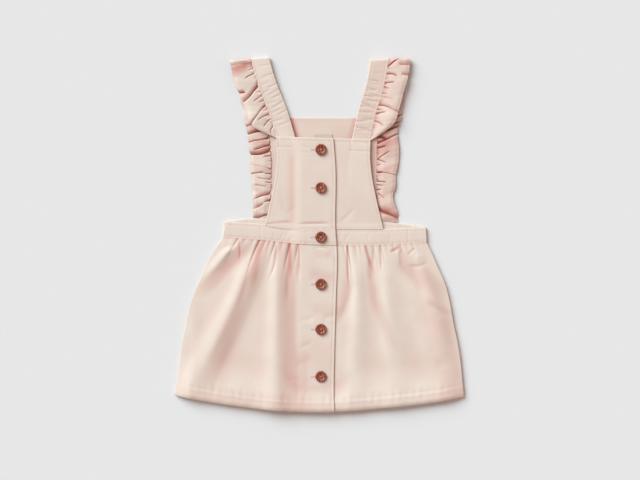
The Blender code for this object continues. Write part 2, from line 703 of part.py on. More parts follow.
def button_mesh():
    """One button: a turned disc with a raised rim, and four holes through it."""
    profile = bpy.data.meshes.new("button_profile")
    profile.from_pydata(
        [(turn.out * MM, 0.0, turn.up * MM) for turn in BUTTON_SECTION],
        [(i, i + 1) for i in range(len(BUTTON_SECTION) - 1)],
        [],
    )
    blank = bpy.data.objects.new("button_blank", profile)
    bpy.context.scene.collection.objects.link(blank)
    turned = blank.modifiers.new("Turned", "SCREW")
    turned.steps = turned.render_steps = BUTTON_SIDES
    turned.use_merge_vertices = True
    turned.merge_threshold = 0.00001
    turned.use_normal_calculate = True

    drill = bmesh.new()
    for east in (-1, 1):
        for north in (-1, 1):
            offset = (east * BUTTON_HOLE_OFFSET * MM, north * BUTTON_HOLE_OFFSET * MM, 0.0)
            bmesh.ops.create_cone(
                drill,
                cap_ends=True,
                segments=BUTTON_HOLE_SIDES,
                radius1=BUTTON_HOLE_RADIUS * MM,
                radius2=BUTTON_HOLE_RADIUS * MM,
                depth=DRILL_LENGTH * MM,
                matrix=Matrix.Translation(offset),
            )
    drill_mesh = bpy.data.meshes.new("button_drill")
    drill.to_mesh(drill_mesh)
    drill.free()
    cutter = bpy.data.objects.new("button_drill", drill_mesh)
    bpy.context.scene.collection.objects.link(cutter)
    holes = blank.modifiers.new("Holes", "BOOLEAN")
    holes.operation = "DIFFERENCE"
    holes.object = cutter

    graph = bpy.context.evaluated_depsgraph_get()
    made = bpy.data.meshes.new_from_object(blank.evaluated_get(graph))
    made.name = "button"
    made.materials.clear()
    made.materials.append(material(BUTTON_BROWN))
    made.shade_smooth()
    made.set_sharp_from_angle(angle=SHARP_ANGLE)
    bpy.data.objects.remove(blank)
    bpy.data.objects.remove(cutter)
    return made


def front_top(x, y):
    """The top of the right front at x, y, where the buttons sit."""
    band_low, band_high = read(WAIST_SEAM, "x", "y", x), read(BAND_TOP, "x", "y", x)
    if y > band_high:
        return bib_z(y) + lap_rise(x, BIB_WALL) + BIB_WALL / 2
    if y > band_low:
        return BAND_FRONT_Z + lap_rise(x, BAND_WALL) + BAND_WALL / 2
    middle = skirt_front_z(x, y, band_low - y, SIDE_SLOPE)
    return middle + lap_rise(x, SKIRT_WALL) + SKIRT_WALL / 2


def buttons():
    """Six buttons down the lap, each just clear of the cloth under its rim and its middle."""
    mesh = button_mesh()
    offsets = (-BUTTON_RADIUS, 0.0, BUTTON_RADIUS)
    for number, y in enumerate(BUTTON_YS, start=1):
        under = [front_top(BUTTON_X + east, y + north) for east in offsets for north in offsets]
        seat = float(max(under)) + SEAM_GAP
        button = bpy.data.objects.new(f"button_{number}", mesh)
        button.location = (BUTTON_X * MM, y * MM, seat * MM)
        bpy.context.scene.collection.objects.link(button)


def label():
    """The blank tape label on the inside of the back bib."""
    x = LABEL_CENTRE[0] + LABEL_WIDTH * np.array([-0.5, 0.0, 0.5])[:, None]
    y = LABEL_CENTRE[1] + LABEL_HEIGHT * np.array([-0.5, 0.5])[None, :]
    z = np.full((3, 2), BIB_WALL + SEAM_GAP + LABEL_WALL / 2)
    return cloth("label", np.stack(np.broadcast_arrays(x, y, z), axis=-1), LABEL_WALL, LABEL_WHITE)


def main():
    clear_scene()
    skirt_back()
    skirt_front("skirt_left", underlap_edge, "left", LEFT_GATHERS, lifted=False)
    skirt_front("skirt_right", lap_edge, "right", RIGHT_GATHERS, lifted=True)
    waistband_back()
    waistband_front("waistband_left", underlap_edge, band_side_left, lifted=False)
    waistband_front("waistband_right", band_side_right, lap_edge, lifted=True)
    bib_back()
    bib_front("bib_left", underlap_edge, bib_side_left, lifted=False)
    bib_front("bib_right", bib_side_right, lap_edge, lifted=True)
    strap("strap_right", RIGHT_FRONT_SEAM, RIGHT_BACK_SEAM)
    strap("strap_left", LEFT_FRONT_SEAM, LEFT_BACK_SEAM)
    ruffle("ruffle_right", RIGHT_FRONT_SEAM, RIGHT_BACK_SEAM, RIGHT_FRONT_CRESTS, RIGHT_BACK_CRESTS)
    ruffle("ruffle_left", LEFT_FRONT_SEAM, LEFT_BACK_SEAM, LEFT_FRONT_CRESTS, LEFT_BACK_CRESTS)
    label()
    buttons()


main()
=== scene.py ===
"""The looks of a child's bib pinafore in pale pink brushed twill, laid flat on its back.

Sizes and tables are in millimetres and the meshes in metres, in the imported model's frame: +Z up from the
surface, +Y to the shoulders, +X to the wearer's left. Right and left are the wearer's. The tables of
outlines, seams and large folds are the same as in the part's source, but the wide folds fall away more
gently here, and the skirt's hem and sides stand a little higher. Finer creases, gathers, stitches and the
buttons' edges are added.
"""

from collections import namedtuple
from math import cos, pi, radians, sin, tau

import bmesh
import bpy
import numpy as np
from mathutils import Matrix, Vector


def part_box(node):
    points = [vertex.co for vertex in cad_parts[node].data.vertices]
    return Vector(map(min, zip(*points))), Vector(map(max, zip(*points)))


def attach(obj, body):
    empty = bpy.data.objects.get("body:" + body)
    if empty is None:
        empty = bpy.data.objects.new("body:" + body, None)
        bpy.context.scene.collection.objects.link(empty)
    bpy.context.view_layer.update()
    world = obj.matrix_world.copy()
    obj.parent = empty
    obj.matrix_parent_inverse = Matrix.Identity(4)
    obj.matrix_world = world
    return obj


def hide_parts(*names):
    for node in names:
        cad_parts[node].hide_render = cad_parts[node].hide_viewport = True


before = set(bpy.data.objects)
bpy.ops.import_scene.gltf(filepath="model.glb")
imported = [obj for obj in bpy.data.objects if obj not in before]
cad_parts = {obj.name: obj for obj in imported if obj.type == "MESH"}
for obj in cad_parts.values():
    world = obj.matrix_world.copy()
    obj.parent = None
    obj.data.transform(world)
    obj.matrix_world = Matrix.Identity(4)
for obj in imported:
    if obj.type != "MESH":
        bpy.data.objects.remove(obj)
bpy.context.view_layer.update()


def table_of(kind, *rows):
    """A table: one row of this kind for each group of numbers."""
    return [kind(*row) for row in rows]


MM = 0.001
SEAM_GAP = 0.35  # between two solids that are sewn to each other
SEAM_CREVICE = 0.05  # between the cloth of two pieces that are sewn edge to edge

# Walls of cloth, thinner than the solids' walls, which stand for the turnings too.
SKIRT_WALL = 1.0
BIB_WALL = 1.3
BAND_WALL = 1.7
STRAP_WALL = 1.5
RUFFLE_WALL = 0.8
LABEL_WALL = 0.4
HEM_WALL = 1.6  # where the hem is turned up twice

# The solids' walls, from which the heights of the layers are counted.
SOLID_SKIRT = 1.2
SOLID_BIB = 1.6
SOLID_BAND = 2.2
SOLID_STRAP = 1.8
SOLID_RUFFLE = 1.0

# Heights of the middle of each wall above the surface, where the cloth lies flat.
BAND_FRONT_Z = 4.0
BIB_TOP_Z = 5.6
BIB_FOOT_Z = 4.3
BIB_SLOPE = (8.0, 60.0)  # between which heights y it rises from its foot to its top
SKIRT_WAIST_Z = 4.5
SKIRT_BODY_Z = 4.9
SKIRT_HEM_Z = 5.2
HEM_LIFT = 3.6  # how much the front's last 30 mm stand up from the back's
SIDE_SEAM_Z = 4.2
BACK_SIDE_RISE = 2.3  # how far the back's side edges stand up to meet the front's
BACK_SIDE_REACH = 11.0  # how far in from the side that begins
BAND_END_Z = 3.55
STRAP_FOOT_Z = 3.5
STRAP_FOLD_Z = 5.4
STRAP_FOLD_RADIUS = (STRAP_FOLD_Z - SOLID_STRAP / 2) / 2

UNDERLAP_X = -23.4  # of the left front's edge, under the right front
LAP_RAMP = (-44.0, -22.0)  # where across the right front rises onto the left one

Side = namedtuple("Side", "share right left")
SKIRT_SIDES = table_of(
    Side,
    (0, -125.5, 138), (0.08, -137, 145.5), (0.15, -145, 151.5), (0.27, -155.5, 162), (0.4, -166.5, 168.5),
    (0.53, -173, 173), (0.66, -178, 178.5), (0.8, -182.5, 182.5), (1, -188, 186),
)
Point = namedtuple("Point", "x y")
WAIST_SEAM = table_of(Point, (-125.5, -3), (-75, -6.5), (-26, -11.5), (20, -13), (78, -13), (138, -9.5))
HEM = table_of(
    Point,
    (-188, -208.5), (-156, -215), (-104, -223), (-52, -228.5), (10, -230), (104, -223), (156, -216.5),
    (186, -210.5),
)
BAND_TOP = table_of(Point, (-122, 16.5), (-75, 13), (-48, 8.5), (20, 7.6), (80, 7.4), (136.5, 9))
BACK_BAND_TOP = table_of(Point, (-122, 16.8), (-95, 20), (105, 14), (136.5, 9.3))
BIB_TOP = table_of(Point, (-56, 126.8), (17, 124.9), (65, 123.6))
BACK_BIB_TOP_Y = 151.5
BIB_HEIGHT = 117  # from the front waistband to the top edge, about in the middle
BACK_BIB_HEIGHT = 132  # the same on the back

Ends = namedtuple("Ends", "y right left")
BAND_SIDES = table_of(Ends, (-10, -125.5, 138), (0, -125, 137.4), (17, -122, 136.5))

LAP_EDGE = table_of(
    Point,
    (16.8, 127), (19.8, 84), (19.5, 8), (21.8, -26), (20.3, -84), (18.4, -150), (17.6, -212),
    (18.6, -231),
)
BIB_RIGHT_SIDE = table_of(Point, (-56, 127), (-55.3, 97), (-57.9, 71), (-63.2, 45), (-71.8, 8))
BIB_LEFT_SIDE = table_of(Point, (65, 124), (64.6, 97), (67.6, 71), (73, 45), (81.8, 7))

RIGHT_FRONT_SEAM = table_of(
    Point,
    (-89.7, 228.8), (-83.2, 204), (-77.4, 187), (-65, 155.4), (-56.4, 127), (-52.7, 113.8),
)
RIGHT_BACK_SEAM = table_of(
    Point,
    (-89.7, 228.8), (-81.9, 195), (-72.2, 156), (-66.3, 130), (-64, 104), (-63.7, 71.5), (-64.8, 41.6),
    (-67.6, 20),
)
LEFT_FRONT_SEAM = table_of(
    Point,
    (89.1, 228.2), (87, 211.9), (80, 180.7), (72.8, 158), (65.4, 124), (61.8, 110.5),
)
LEFT_BACK_SEAM = table_of(
    Point,
    (89.1, 228.2), (83.2, 188.5), (77.4, 152), (74.4, 126), (73.5, 91), (73.5, 52), (74.1, 15.5),
)
STRAP_WIDTH = 22.6
STRAP_TUCK = 12.0  # how far a strap goes on behind the bib's top edge
FOLD_TILT = 0.17  # how far the shoulder's fold slopes up for each millimetre outward
FOLD_TILT_REACH = 30.0  # how far below the fold that dies away

RUFFLE_TAPER = 31.0  # the length over which its front end narrows
RUFFLE_END_WIDTH = 1.2  # at its front end
RUFFLE_RISE = (1.8, 4.4)  # of its outer edge at the shoulder, and at its front end over the back's petals
RUFFLE_RISE_REACH = (45.0, 75.0)  # how far down the front it goes from the one to the other
RUFFLE_FOLD_GROWTH = 1.1  # how much wider it folds at its outer edge than at its seam
RUFFLE_END_GAP = 1.0  # between its front end and the bib
RUFFLE_CALM = 3.5  # how near the shoulder fold the pleats fade

# The ruffle's width along its seam. at: signed distance from the shoulder, negative on the front.
Width = namedtuple("Width", "at width")
RIGHT_WIDTHS = table_of(
    Width,
    (-96, 27), (-77, 27.5), (-63, 25.5), (-48, 25.5), (-33, 27.5), (0, 26.5), (25, 25), (67, 26),
    (108, 27), (135, 26.5), (162, 25), (188, 22), (212, 19.5),
)
LEFT_WIDTHS = table_of(
    Width,
    (-94, 24), (-70, 26.5), (-43, 25.5), (-19, 27.5), (0, 26.5), (41, 27), (71, 27.5), (96, 25),
    (113, 27.5), (134, 28), (152, 24.5), (169, 24), (182, 20.5), (205, 27.5),
)

# Creases of the ruffles, listed one by one. Each row is one line where a petal laps over the one before it:
# its distance from the shoulder along the seam and at the outer edge, how the line bows between them (1 is
# straight), the shares across the ruffle where it begins and ends, its depth, how much painted shade it gets,
# pink and dark, how far the next petal takes to rise and the last one to fall, and how far the next one laps
# over.
Pleat = namedtuple("Pleat", "seam edge bow first last depth tone rise fall lap")
RIGHT_FRONT_PLEATS = table_of(
    Pleat,
    (7.5, 9, 1, -0.2, 1.2, 1.5, 0.1, 13, 5, 0),
    (8, 12, 1, -0.2, 1.2, 0, 0.4, 7, 4.5, 0),
    (9, 19.5, 1, 0.3, 1.2, 0, 0.45, 9, 9, 0),
    (12, 14, 1, -0.2, 0.18, 1, 0.3, 1.2, 2, 0.3),
    (15, 22, 1, -0.2, 0.2, 1.4, 0.3, 1.4, 2.2, 0.4),
    (20, 34, 1, -0.2, 0.4, 2.4, 0.4, 1.6, 3, 1),
    (37, 52, 0.8, -0.2, 1.2, 4.6, 0.9, 2, 8, 2.6),
    (48, 40, 1, 0.75, 1.2, 3, 0.9, 3, 5, 0),
    (45, 48, 1, -0.2, 0.22, 1.4, 0.25, 1.4, 2.2, 0.4),
    (52, 60, 1, -0.2, 0.42, 1.8, 0.25, 1.6, 3, 0.5),
    (57, 60, 1, -0.2, 0.2, 1.4, 0.2, 1.4, 2.2, 0.3),
    (65, 83, 1.3, -0.2, 1, 4, 0.6, 1.8, 5.5, 2),
    (71, 76, 1, -0.2, 0.25, 1.4, 0.2, 1.4, 2.2, 0.3),
    (77.5, 82, 1.3, -0.2, 0.5, 2.8, 0.5, 1.6, 3.2, 1.2),
    (84, 96, 1, 0.1, 0.5, 1.6, 0.3, 1.8, 3, 0.6),
    (92, 112, 1, -0.2, 0.6, 2.6, 0.5, 1.5, 3, 1),
)
RIGHT_BACK_PLEATS = table_of(
    Pleat,
    (12, 12, 1, -0.2, 1.2, 2, 0.4, 2.4, 5, 0.8),
    (25, 27, 1, -0.2, 1.2, 2.2, 0.4, 2.4, 5, 0.8),
    (38, 38, 1, -0.2, 0.6, 2, 0.4, 2.4, 5, 0.8),
    (49, 52, 1, -0.2, 0.5, 2.2, 0.4, 2.4, 5, 0.8),
    (63, 66, 1, -0.2, 0.5, 2.4, 0.5, 2.4, 5, 0.8),
    (76, 78, 1, -0.2, 0.6, 3, 0.6, 2, 5, 1.2),
    (83, 85, 1, 0.5, 1.2, 2.4, 0.4, 2.6, 5, 1.4),
    (95, 98, 0.5, -0.2, 1.2, 6, 1, 2, 8, 2),
    (101, 111, 0.35, -0.2, 1.2, 5, 0.9, 1.8, 4.5, 2.2),
    (107, 110, 1, -0.2, 0.2, 2, 0.4, 1.5, 2.5, 0.4),
    (115, 121, 0.4, -0.2, 0.7, 2.8, 0.45, 2.5, 5.5, 0.8),
    (122, 128.5, 0.4, -0.2, 1.2, 5.2, 0.95, 2.4, 8, 1.6),
    (131, 134, 1, -0.2, 0.25, 2, 0.5, 1.6, 2.5, 0.4),
    (146, 141, 1.5, -0.2, 1.2, 4, 0.75, 1.4, 2.2, 2.4),
    (147.5, 155.5, 1, 0.42, 1.2, 4, 0.9, 1.8, 3.6, 1.6),
    (152, 156, 0.6, -0.2, 0.3, 2.2, 0.3, 1.5, 2.5, 0.6),
    (160, 158, 1.4, -0.2, 0.62, 2.4, 0.3, 1.8, 3, 1.2),
    (165, 168, 1, -0.2, 0.18, 1.8, 0.4, 1.5, 2.5, 0.4),
    (170, 170, 1, 0.25, 0.8, 1.2, 0.25, 2.5, 3.5, 0.2),
    (177, 188, 0.7, -0.2, 0.85, 3, 0.45, 3, 7, 1.2),
    (188, 194, 1, -0.2, 0.28, 2.6, 0.5, 2.5, 4, 1),
    (190, 202, 1, 0.4, 1.2, 1.6, 0.35, 3.5, 6, 0.4),
    (206.5, 212, 1, 0.1, 1.2, 4.2, 0.9, 1.5, 4, 2.2),
)
LEFT_FRONT_PLEATS = table_of(
    Pleat,
    (11, -8, 1, -0.2, 0.5, 2.8, 0.7, 3.5, 3, 0.4),
    (8, 10, 1, 0.55, 1.2, 1.6, 0.3, 3, 6, 0.6),
    (20.5, 27, 1.6, -0.2, 0.45, 2.2, 0.39, 2.3, 4.2, 1.4),
    (20, 20, 1, 0.75, 1.2, 2.1, 0.28, 3.4, 4.8, 1),
    (33, 29, 1, -0.2, 0.4, 2.1, 0.24, 2.1, 3.6, 0.8),
    (38, 39, 1, -0.2, 0.2, 1.3, 0.21, 1.6, 2.6, 0.4),
    (45, 50, 1, -0.2, 0.2, 1.1, 0.14, 1.6, 2.6, 0.4),
    (52, 51, 1, 0.15, 0.6, 0.7, 0.1, 2.3, 4.8, 0.2),
    (61, 63, 1, -0.2, 1, 2.7, 0.35, 2.3, 6, 1.6),
    (67, 69, 1, -0.2, 0.2, 1.3, 0.21, 1.6, 2.6, 0.4),
    (74, 58, 1.3, -0.2, 0.36, 2.6, 0.42, 2.3, 3.6, 1.4),
    (83.5, 91, 1, -0.2, 0.55, 1.8, 0.17, 2.1, 4.2, 1),
)
LEFT_BACK_PLEATS = table_of(
    Pleat,
    (12, 12, 1, -0.2, 1.2, 2, 0.4, 2.4, 5, 0.8),
    (26, 26, 1, -0.2, 1.2, 2.2, 0.4, 2.4, 5, 0.8),
    (40, 41, 1, -0.2, 0.6, 2, 0.4, 2.4, 5, 0.8),
    (55, 53, 1, -0.2, 0.5, 2.2, 0.4, 2.4, 5, 0.8),
    (70, 60, 1, -0.2, 0.8, 2.6, 0.5, 2.4, 5, 0.8),
    (86, 70, 1, 0.2, 1.2, 4.8, 0.9, 2.2, 4, 1.4),
    (90, 80, 1, 0, 1.2, 4.4, 0.9, 2, 3.4, 1.4),
    (97, 88, 1, 0, 1.2, 4.4, 1, 2, 4.5, 1.4),
    (103, 108, 1, -0.2, 0.4, 4, 1, 2.5, 5, 0.6),
    (110, 99, 1.2, -0.2, 1.2, 5.4, 1, 1.8, 5, 2.4),
    (117, 113, 1, -0.2, 0.35, 2.8, 0.8, 1.8, 3, 0.6),
    (134, 112, 1, 0.12, 0.5, 2.2, 0.5, 1.5, 2.5, 0.6),
    (131, 139, 0.5, -0.2, 0.36, 2.2, 0.5, 1.5, 2.5, 0.6),
    (140, 140, 1, -0.2, 0.16, 1.6, 0.4, 1.4, 2.2, 0.4),
    (145.5, 152.8, 0.4, -0.2, 1.2, 4, 0.8, 1.4, 3, 2),
    (149, 151, 0.8, -0.2, 0.25, 2.6, 0.9, 1.5, 2.5, 0.3),
    (158, 166, 0.6, -0.2, 0.45, 2.6, 0.45, 1.8, 3, 0.8),
    (165, 171, 0.8, -0.2, 0.3, 2.2, 0.35, 1.5, 2.5, 0.6),
    (171, 175, 0.8, -0.2, 0.2, 2, 0.35, 1.5, 2.5, 0.6),
    (174, 196, 1, 0.12, 0.42, 2, 0.4, 1.4, 2.5, 0.6),
    (189, 210, 0.5, -0.2, 1.2, 3, 0.65, 5, 12, 0.8),
)
PETAL_HEIGHT = 3.5  # of a petal that is seen, at the ruffle's outer half
HIDDEN_PETAL_HEIGHT = 2.6  # of the back's petals under the front ruffle
HIDDEN_REACH = (62.0, 84.0)  # where the hidden petals give way to the ones that are seen
PETAL_AT_SEAM = 0.45  # the share of a petal's height that it has at the seam
FRONT_PETAL_MEAN = 2.2  # how far above its creases the front ruffle's solid lies
SEAM_GATHER_PITCH = 4.7  # of the small tucks at its seam
SEAM_GATHER_HEIGHT = 0.6
SEAM_GATHER_REACH = 0.22  # the share across the ruffle at which they have died away by two thirds

Fold = namedtuple("Fold", "top_x top_y bend_x foot_x foot_y width_west width_east height left_at_foot")
LONG_FALL = 20.0  # a fold whose east side is wider than this falls away in one long slope
SKIRT_FOLDS = table_of(
    Fold,
    (-112, -12, -134, -158, -62, 13, 9, 2.6, 0.2),
    (-77.5, -12, -118.5, -170, -206, 21, 27, 5.2, 0.35),
    (-54, -14, -55, -56, -228, 17, 27, 4.6, 1),
    (46, -16, 48, 38, -222, 12, 14, 2.4, 0.4),
    (84, -14, 90, 102, -220, 14, 17, 2.2, 0.5),
    (118, -12, 152, 168, -190, 15, 12, 3, 0.4),
)
Gather = namedtuple("Gather", "x depth length")
RIGHT_GATHERS = table_of(
    Gather,
    (-27.7, 1.1, 24), (-38.5, 1.3, 30), (-48, 0.4, 8), (-57.5, 0.8, 22), (-64, 0.4, 9), (-69.5, 0.5, 10),
    (-78, 1.3, 36), (-85, 0.35, 7), (-96, 0.4, 8), (-105.7, 0.9, 17), (-117, 0.3, 8),
)
LEFT_GATHERS = table_of(
    Gather,
    (30.8, 0.5, 16), (35.7, 1.3, 34), (46.3, 0.5, 12), (52, 0.35, 8), (59.3, 1, 22), (69, 0.7, 17),
    (78.7, 0.8, 15), (86, 0.3, 7), (94, 0.6, 10), (104, 0.7, 14), (112, 0.4, 8), (119.6, 0.6, 11),
    (127.5, 0.4, 9), (133, 0.2, 6),
)
PUFF_SHARE = 0.6  # how far a puff rises above the cloth, as a share of how deep its creases cut
GATHER_SHARPNESS = 0.75  # below 1, a valley between two puffs is a crease
GATHER_GAIN = 1.15  # how much deeper the cloth's creases are than the solid's
PLACKET_X = 24.0  # where the gathers begin beside the placket
SKIRT_LENGTH = 216.0  # from waist to hem
HEM_DEPTH = 14.5  # from the hem's edge to its stitches
HEM_SHOWS = 0.6  # how much of the back's hem the front's leaves to be seen
SIDE_SLOPES = (32.0, 22.0)  # how far in from the left and the right side seam the cloth slopes up
SIDE_CALM = 25.0  # how near a side seam the gathers begin to fade
BACK_GATHERS = 46  # how many puffs the back has across
BACK_GATHER_HEIGHT = 0.8
BACK_GATHER_LENGTH = 22.0  # how far below the waist they have died away by two thirds
BAND_JOINS = (-76.7, 114.4)  # x of the two joins across the front waistband

# Where along the back's seam the ruffle lies deep beside the front, painted in shade: where that comes and
# goes.
POCKET_STARTS = (70.0, 90.0)
POCKET_ENDS = (135.0, 104.0)
FRONT_BLUSH = 0.025  # how pink the bib's and the waistband's fronts are all over

# Creases, listed one by one. Each is a soft trough from one place to another, bowed east by bow, with a
# half-width and a depth; a negative depth is a ridge.
Crease = namedtuple("Crease", "x1 y1 x2 y2 bow width depth")
RIGHT_SKIRT_CREASES = table_of(
    Crease,
    (-28, -14, -27, -62, 1, 2.2, 0.7),
    (-38, -10, -42, -90, 1, 4, 0.8),
    (-58, -16, -65, -56, -3, 1.8, 0.6),
    (-72, 10, -104, -92, 1, 5, 0.9),
    (-106, -6, -104.5, -32, -1, 1.6, 0.5),
    (-92, -16, -128, -52, 0, 6, 0.6),
    (-150, -90, -170, -160, -2, 9, 0.3),
    (-112, -130, -122, -215, 2, 12, 0.4),
    (-9, -14.5, 11, -14.5, 1, 0.9, 0.35),
    (-10, -18.6, 10, -18, 1.6, 1, 0.35),
    (8, -28, 20, -20, 0, 4, 0.35),
    (-12, -50, 20, -58, 1, 6, 0.4),
    (-27, -110, -8, -106, -1, 1.4, 0.45),
    (-24, -116, -4, -114, -1, 3, -0.3),
    (4, -109, 21, -104, 1, 3.5, 0.45),
    (2, -112, 20, -118, 0, 1.2, 0.35),
    (-26, -146, -10, -139, 0, 2.6, 0.4),
    (-30, -170, -8, -160, 2, 5, 0.3),
    (-40, -186, -25, -188, 0, 2.2, 0.4),
    (-34, -192, -26, -212, -1, 4, 0.2),
    (-20, -196, 12, -194, 1, 4, -0.3),
)
LEFT_SKIRT_CREASES = table_of(
    Crease,
    (35.7, -12, 37, -62, 0.6, 1.5, 0.8),
    (59, -16, 68, -46, 0, 1.8, 0.8),
    (66, -30, 68, -62, 1, 4, 0.7),
    (70, -16, 70, -40, 0.5, 1.3, 0.5),
    (78, -16, 80, -44, 0.5, 1.4, 0.5),
    (42, -62, 24, -112, -3, 6, 0.8),
    (92, -22, 103, -16, 0, 2.2, 0.7),
    (104, -20, 105, -42, 0.5, 2, 0.5),
    (114, -26, 123, -17, 0, 1.6, 0.5),
    (104, -34, 142, -76, 3, 8, 0.7),
    (118, -40, 160, -78, 2, 8, 0.6),
    (72, -60, 92, -128, 1, 7, 0.6),
    (122, -110, 132, -190, 3, 12, 0.4),
    (168, -120, 176, -150, 0, 5, 0.5),
    (150, -168, 178, -160, 0, 7, 0.4),
    (116, -40, 141, -35, -3, 2.4, 0.9),
    (124, -29, 136, -27, 0, 5, -0.7),
    (140, -88, 172, -107, 1, 3.4, 0.8),
    (154, -108, 172, -118, 0, 5, -0.6),
)
# Painted shade of the cloth, placed as creases are: how pink and dark it is painted in its wide hollows and
# folds.
RIGHT_SKIRT_SHADES = table_of(
    Crease,
    (-140, -206, -10, -217, 0, 9, 0.08),
    (-24, -150, -24, -236, 0, 9, 0.14),
    (-60, 14, -148, -196, 0, 10, 0.2),
    (-74, 6, -88, -66, 0, 4, 0.25),
    (-42, 26, -42, -262, 0, 11.5, 0.2),
    (-38, 8, -39, -54, 0, 2.6, 0.35),
    (-27.5, -4, -27, -50, 0, 1.2, 0.5),
    (-58, -8, -66, -54, -4, 1.4, 0.3),
    (-105.5, -4, -104.5, -32, -1, 1.2, 0.3),
    (-88, -8, -158, -78, 0, 9, 0.24),
    (-10, -22, 22, -30, 0, 5, 0.12),
    (-14, -48, 24, -60, 0, 9, 0.12),
    (-12, -94, 24, -100, 0, 8, 0.1),
    (-34, -146, 24, -160, 0, 20, 0.1),
)
LEFT_SKIRT_SHADES = table_of(
    Crease,
    (35.7, -4, 37, -66, 0.6, 1.3, 0.42),
    (59, -10, 70, -50, 0, 1.8, 0.32),
    (64, -24, 72, -106, 1, 4.5, 0.16),
    (78, -8, 79, -46, 0, 1.3, 0.26),
    (36, -52, 20, -112, -2, 6, 0.16),
    (91, -22, 104, -15, 0, 2.2, 0.32),
    (104, -14, 106, -44, 0, 2.2, 0.2),
    (114, -25, 123, -16, 0, 1.6, 0.15),
    (98, -26, 168, -82, 0, 12, 0.13),
    (152, -90, 178, -236, 0, 20, 0.13),
    (128, -50, 164, -140, 0, 14, 0.05),
    (72, -80, 96, -150, 0, 7, 0.12),
    (116, -43, 142, -37, -3, 2.4, 0.05),
    (138, -84, 174, -104, 1, 4, 0.1),
)
# Painted shade on the right bib, placed as creases are: pinker and darker where it lies in shade.
BIB_SHADES = table_of(
    Crease,
    (-36, 116, -36, 4, 0, 5.5, 0.17),
    (-76, 14, -33, 16, 0, 1.6, 0.2),
    (-31, 14, 16, 14.5, 1, 1.3, 0.26),
)
BIB_CREASES = table_of(
    Crease,
    (-34.5, 108, -34.5, 12, 0, 6, 0.55),
    (-70, 14.5, -36, 17, 0, 1.8, 0.7),
    (-27, 14.5, 12, 15.5, 0, 1.8, 0.7),
    (27, 18, 44, 34, -1, 3, 0.35),
    (38, 110, 36, 60, 1, 4, 0.2),
    (-50, 60, -44, 30, 1, 4, 0.25),
    (-44, 28, -32, 36, 0, 3, 0.3),
    (-64, 42, -56, 20, 0, 4, 0.25),
    (-28, 116, -10, 112, 0, 1.2, 0.25),
    (-30, 108, -12, 106, 0, 1.2, 0.2),
    (46, 121, 66, 118, 0, 2, 0.3),
    (-60, 114.4, -34, 114.4, 0, 1, 0.35),
    (-54.4, 128, -54.4, 111, 0, 1, 0.25),
    (36, 109.8, 68, 108.4, 0, 1, 0.4),
    (39.4, 127, 40.6, 105, 0, 1, 0.35),
)
# The corners (x, y) of the stitches that hold the straps' ends, which come through the bib.
RIGHT_STRAP_BOX = [(-54.6, 123.5), (-54.2, 114.4), (-39.0, 114.4), (-38.6, 123.0)]
LEFT_STRAP_BOX = [(39.6, 121.5), (40.4, 109.6), (62.6, 108.6)]
BAND_CREASES = table_of(
    Crease,
    (-60, 2, -58, -6, 1, 1.6, 0.25),
    (-46, 4, -52, -7, 0, 1.4, 0.25),
    (-42, 3, -47, -8, 0, 1.4, 0.2),
    (-34, -1, -42, -9, 0, 1.3, 0.2),
    (38, 2, 31, -10, 0, 1.4, 0.25),
    (64, 3, 61, -10, 0.5, 1.6, 0.2),
    (92, 4, 90, -9, 0.5, 1.6, 0.2),
)
# Small wrinkles across each strap: distance from the shoulder, how far one end lies lower than the other, how
# far the middle sags, the shares across the strap where it begins and ends, and its depth.
Wrinkle = namedtuple("Wrinkle", "at slant sag first last depth")
WRINKLE_WIDTH = 1.4  # of half of one
RIGHT_STRAP_WRINKLES = table_of(
    Wrinkle,
    (12.5, -1, 0, 0.3, 1.1, 0.3),
    (27, -1.5, 0.5, 0.35, 1.1, 0.45),
    (30.5, 1.5, -0.6, 0.2, 0.9, 0.3),
    (37, -3, 0.8, 0.1, 0.7, 0.25),
    (44, -1, 0.5, 0.4, 1.1, 0.45),
    (48, -4, 0, -0.1, 0.6, 0.35),
    (53, -2, 0.8, 0.3, 1.1, 0.35),
    (60, -2, 0, 0.45, 1.1, 0.5),
    (64, 1, 1, 0.05, 0.65, 0.35),
    (70, -3, 0.6, 0.2, 1.1, 0.45),
    (77, -1.5, -0.5, 0.1, 0.8, 0.35),
    (81, -2.5, 0.5, 0.35, 1.1, 0.4),
    (88, 0.5, 0.5, -0.1, 0.7, 0.4),
    (95, -2, 0, 0.2, 1.1, 0.35),
)
LEFT_STRAP_WRINKLES = table_of(
    Wrinkle,
    (20, 1, 0.5, 0.2, 0.8, 0.25),
    (34, -1, -1.5, 0.25, 0.85, 0.6),
    (37.5, 2, -1, 0.1, 0.7, 0.35),
    (43, 1, 1.5, 0.3, 1.1, 0.5),
    (47, 3, -1, 0.35, 1.1, 0.5),
    (51, -2, 1, -0.1, 0.6, 0.55),
    (56, 2.5, -1, 0.3, 1.1, 0.6),
    (60, 4, 0.5, -0.1, 0.8, 0.55),
    (65.5, 1, 1.5, 0.4, 1.1, 0.5),
    (70, 3, -1.5, 0, 1.1, 0.6),
    (75, 4, 0.5, 0.2, 1.1, 0.5),
    (83, 2, 1, -0.1, 0.7, 0.5),
    (87, 5, -0.5, 0.3, 1.1, 0.55),
    (95, 2, 1.5, 0.2, 1.1, 0.6),
    (99.5, 4, -0.5, -0.1, 0.8, 0.5),
)

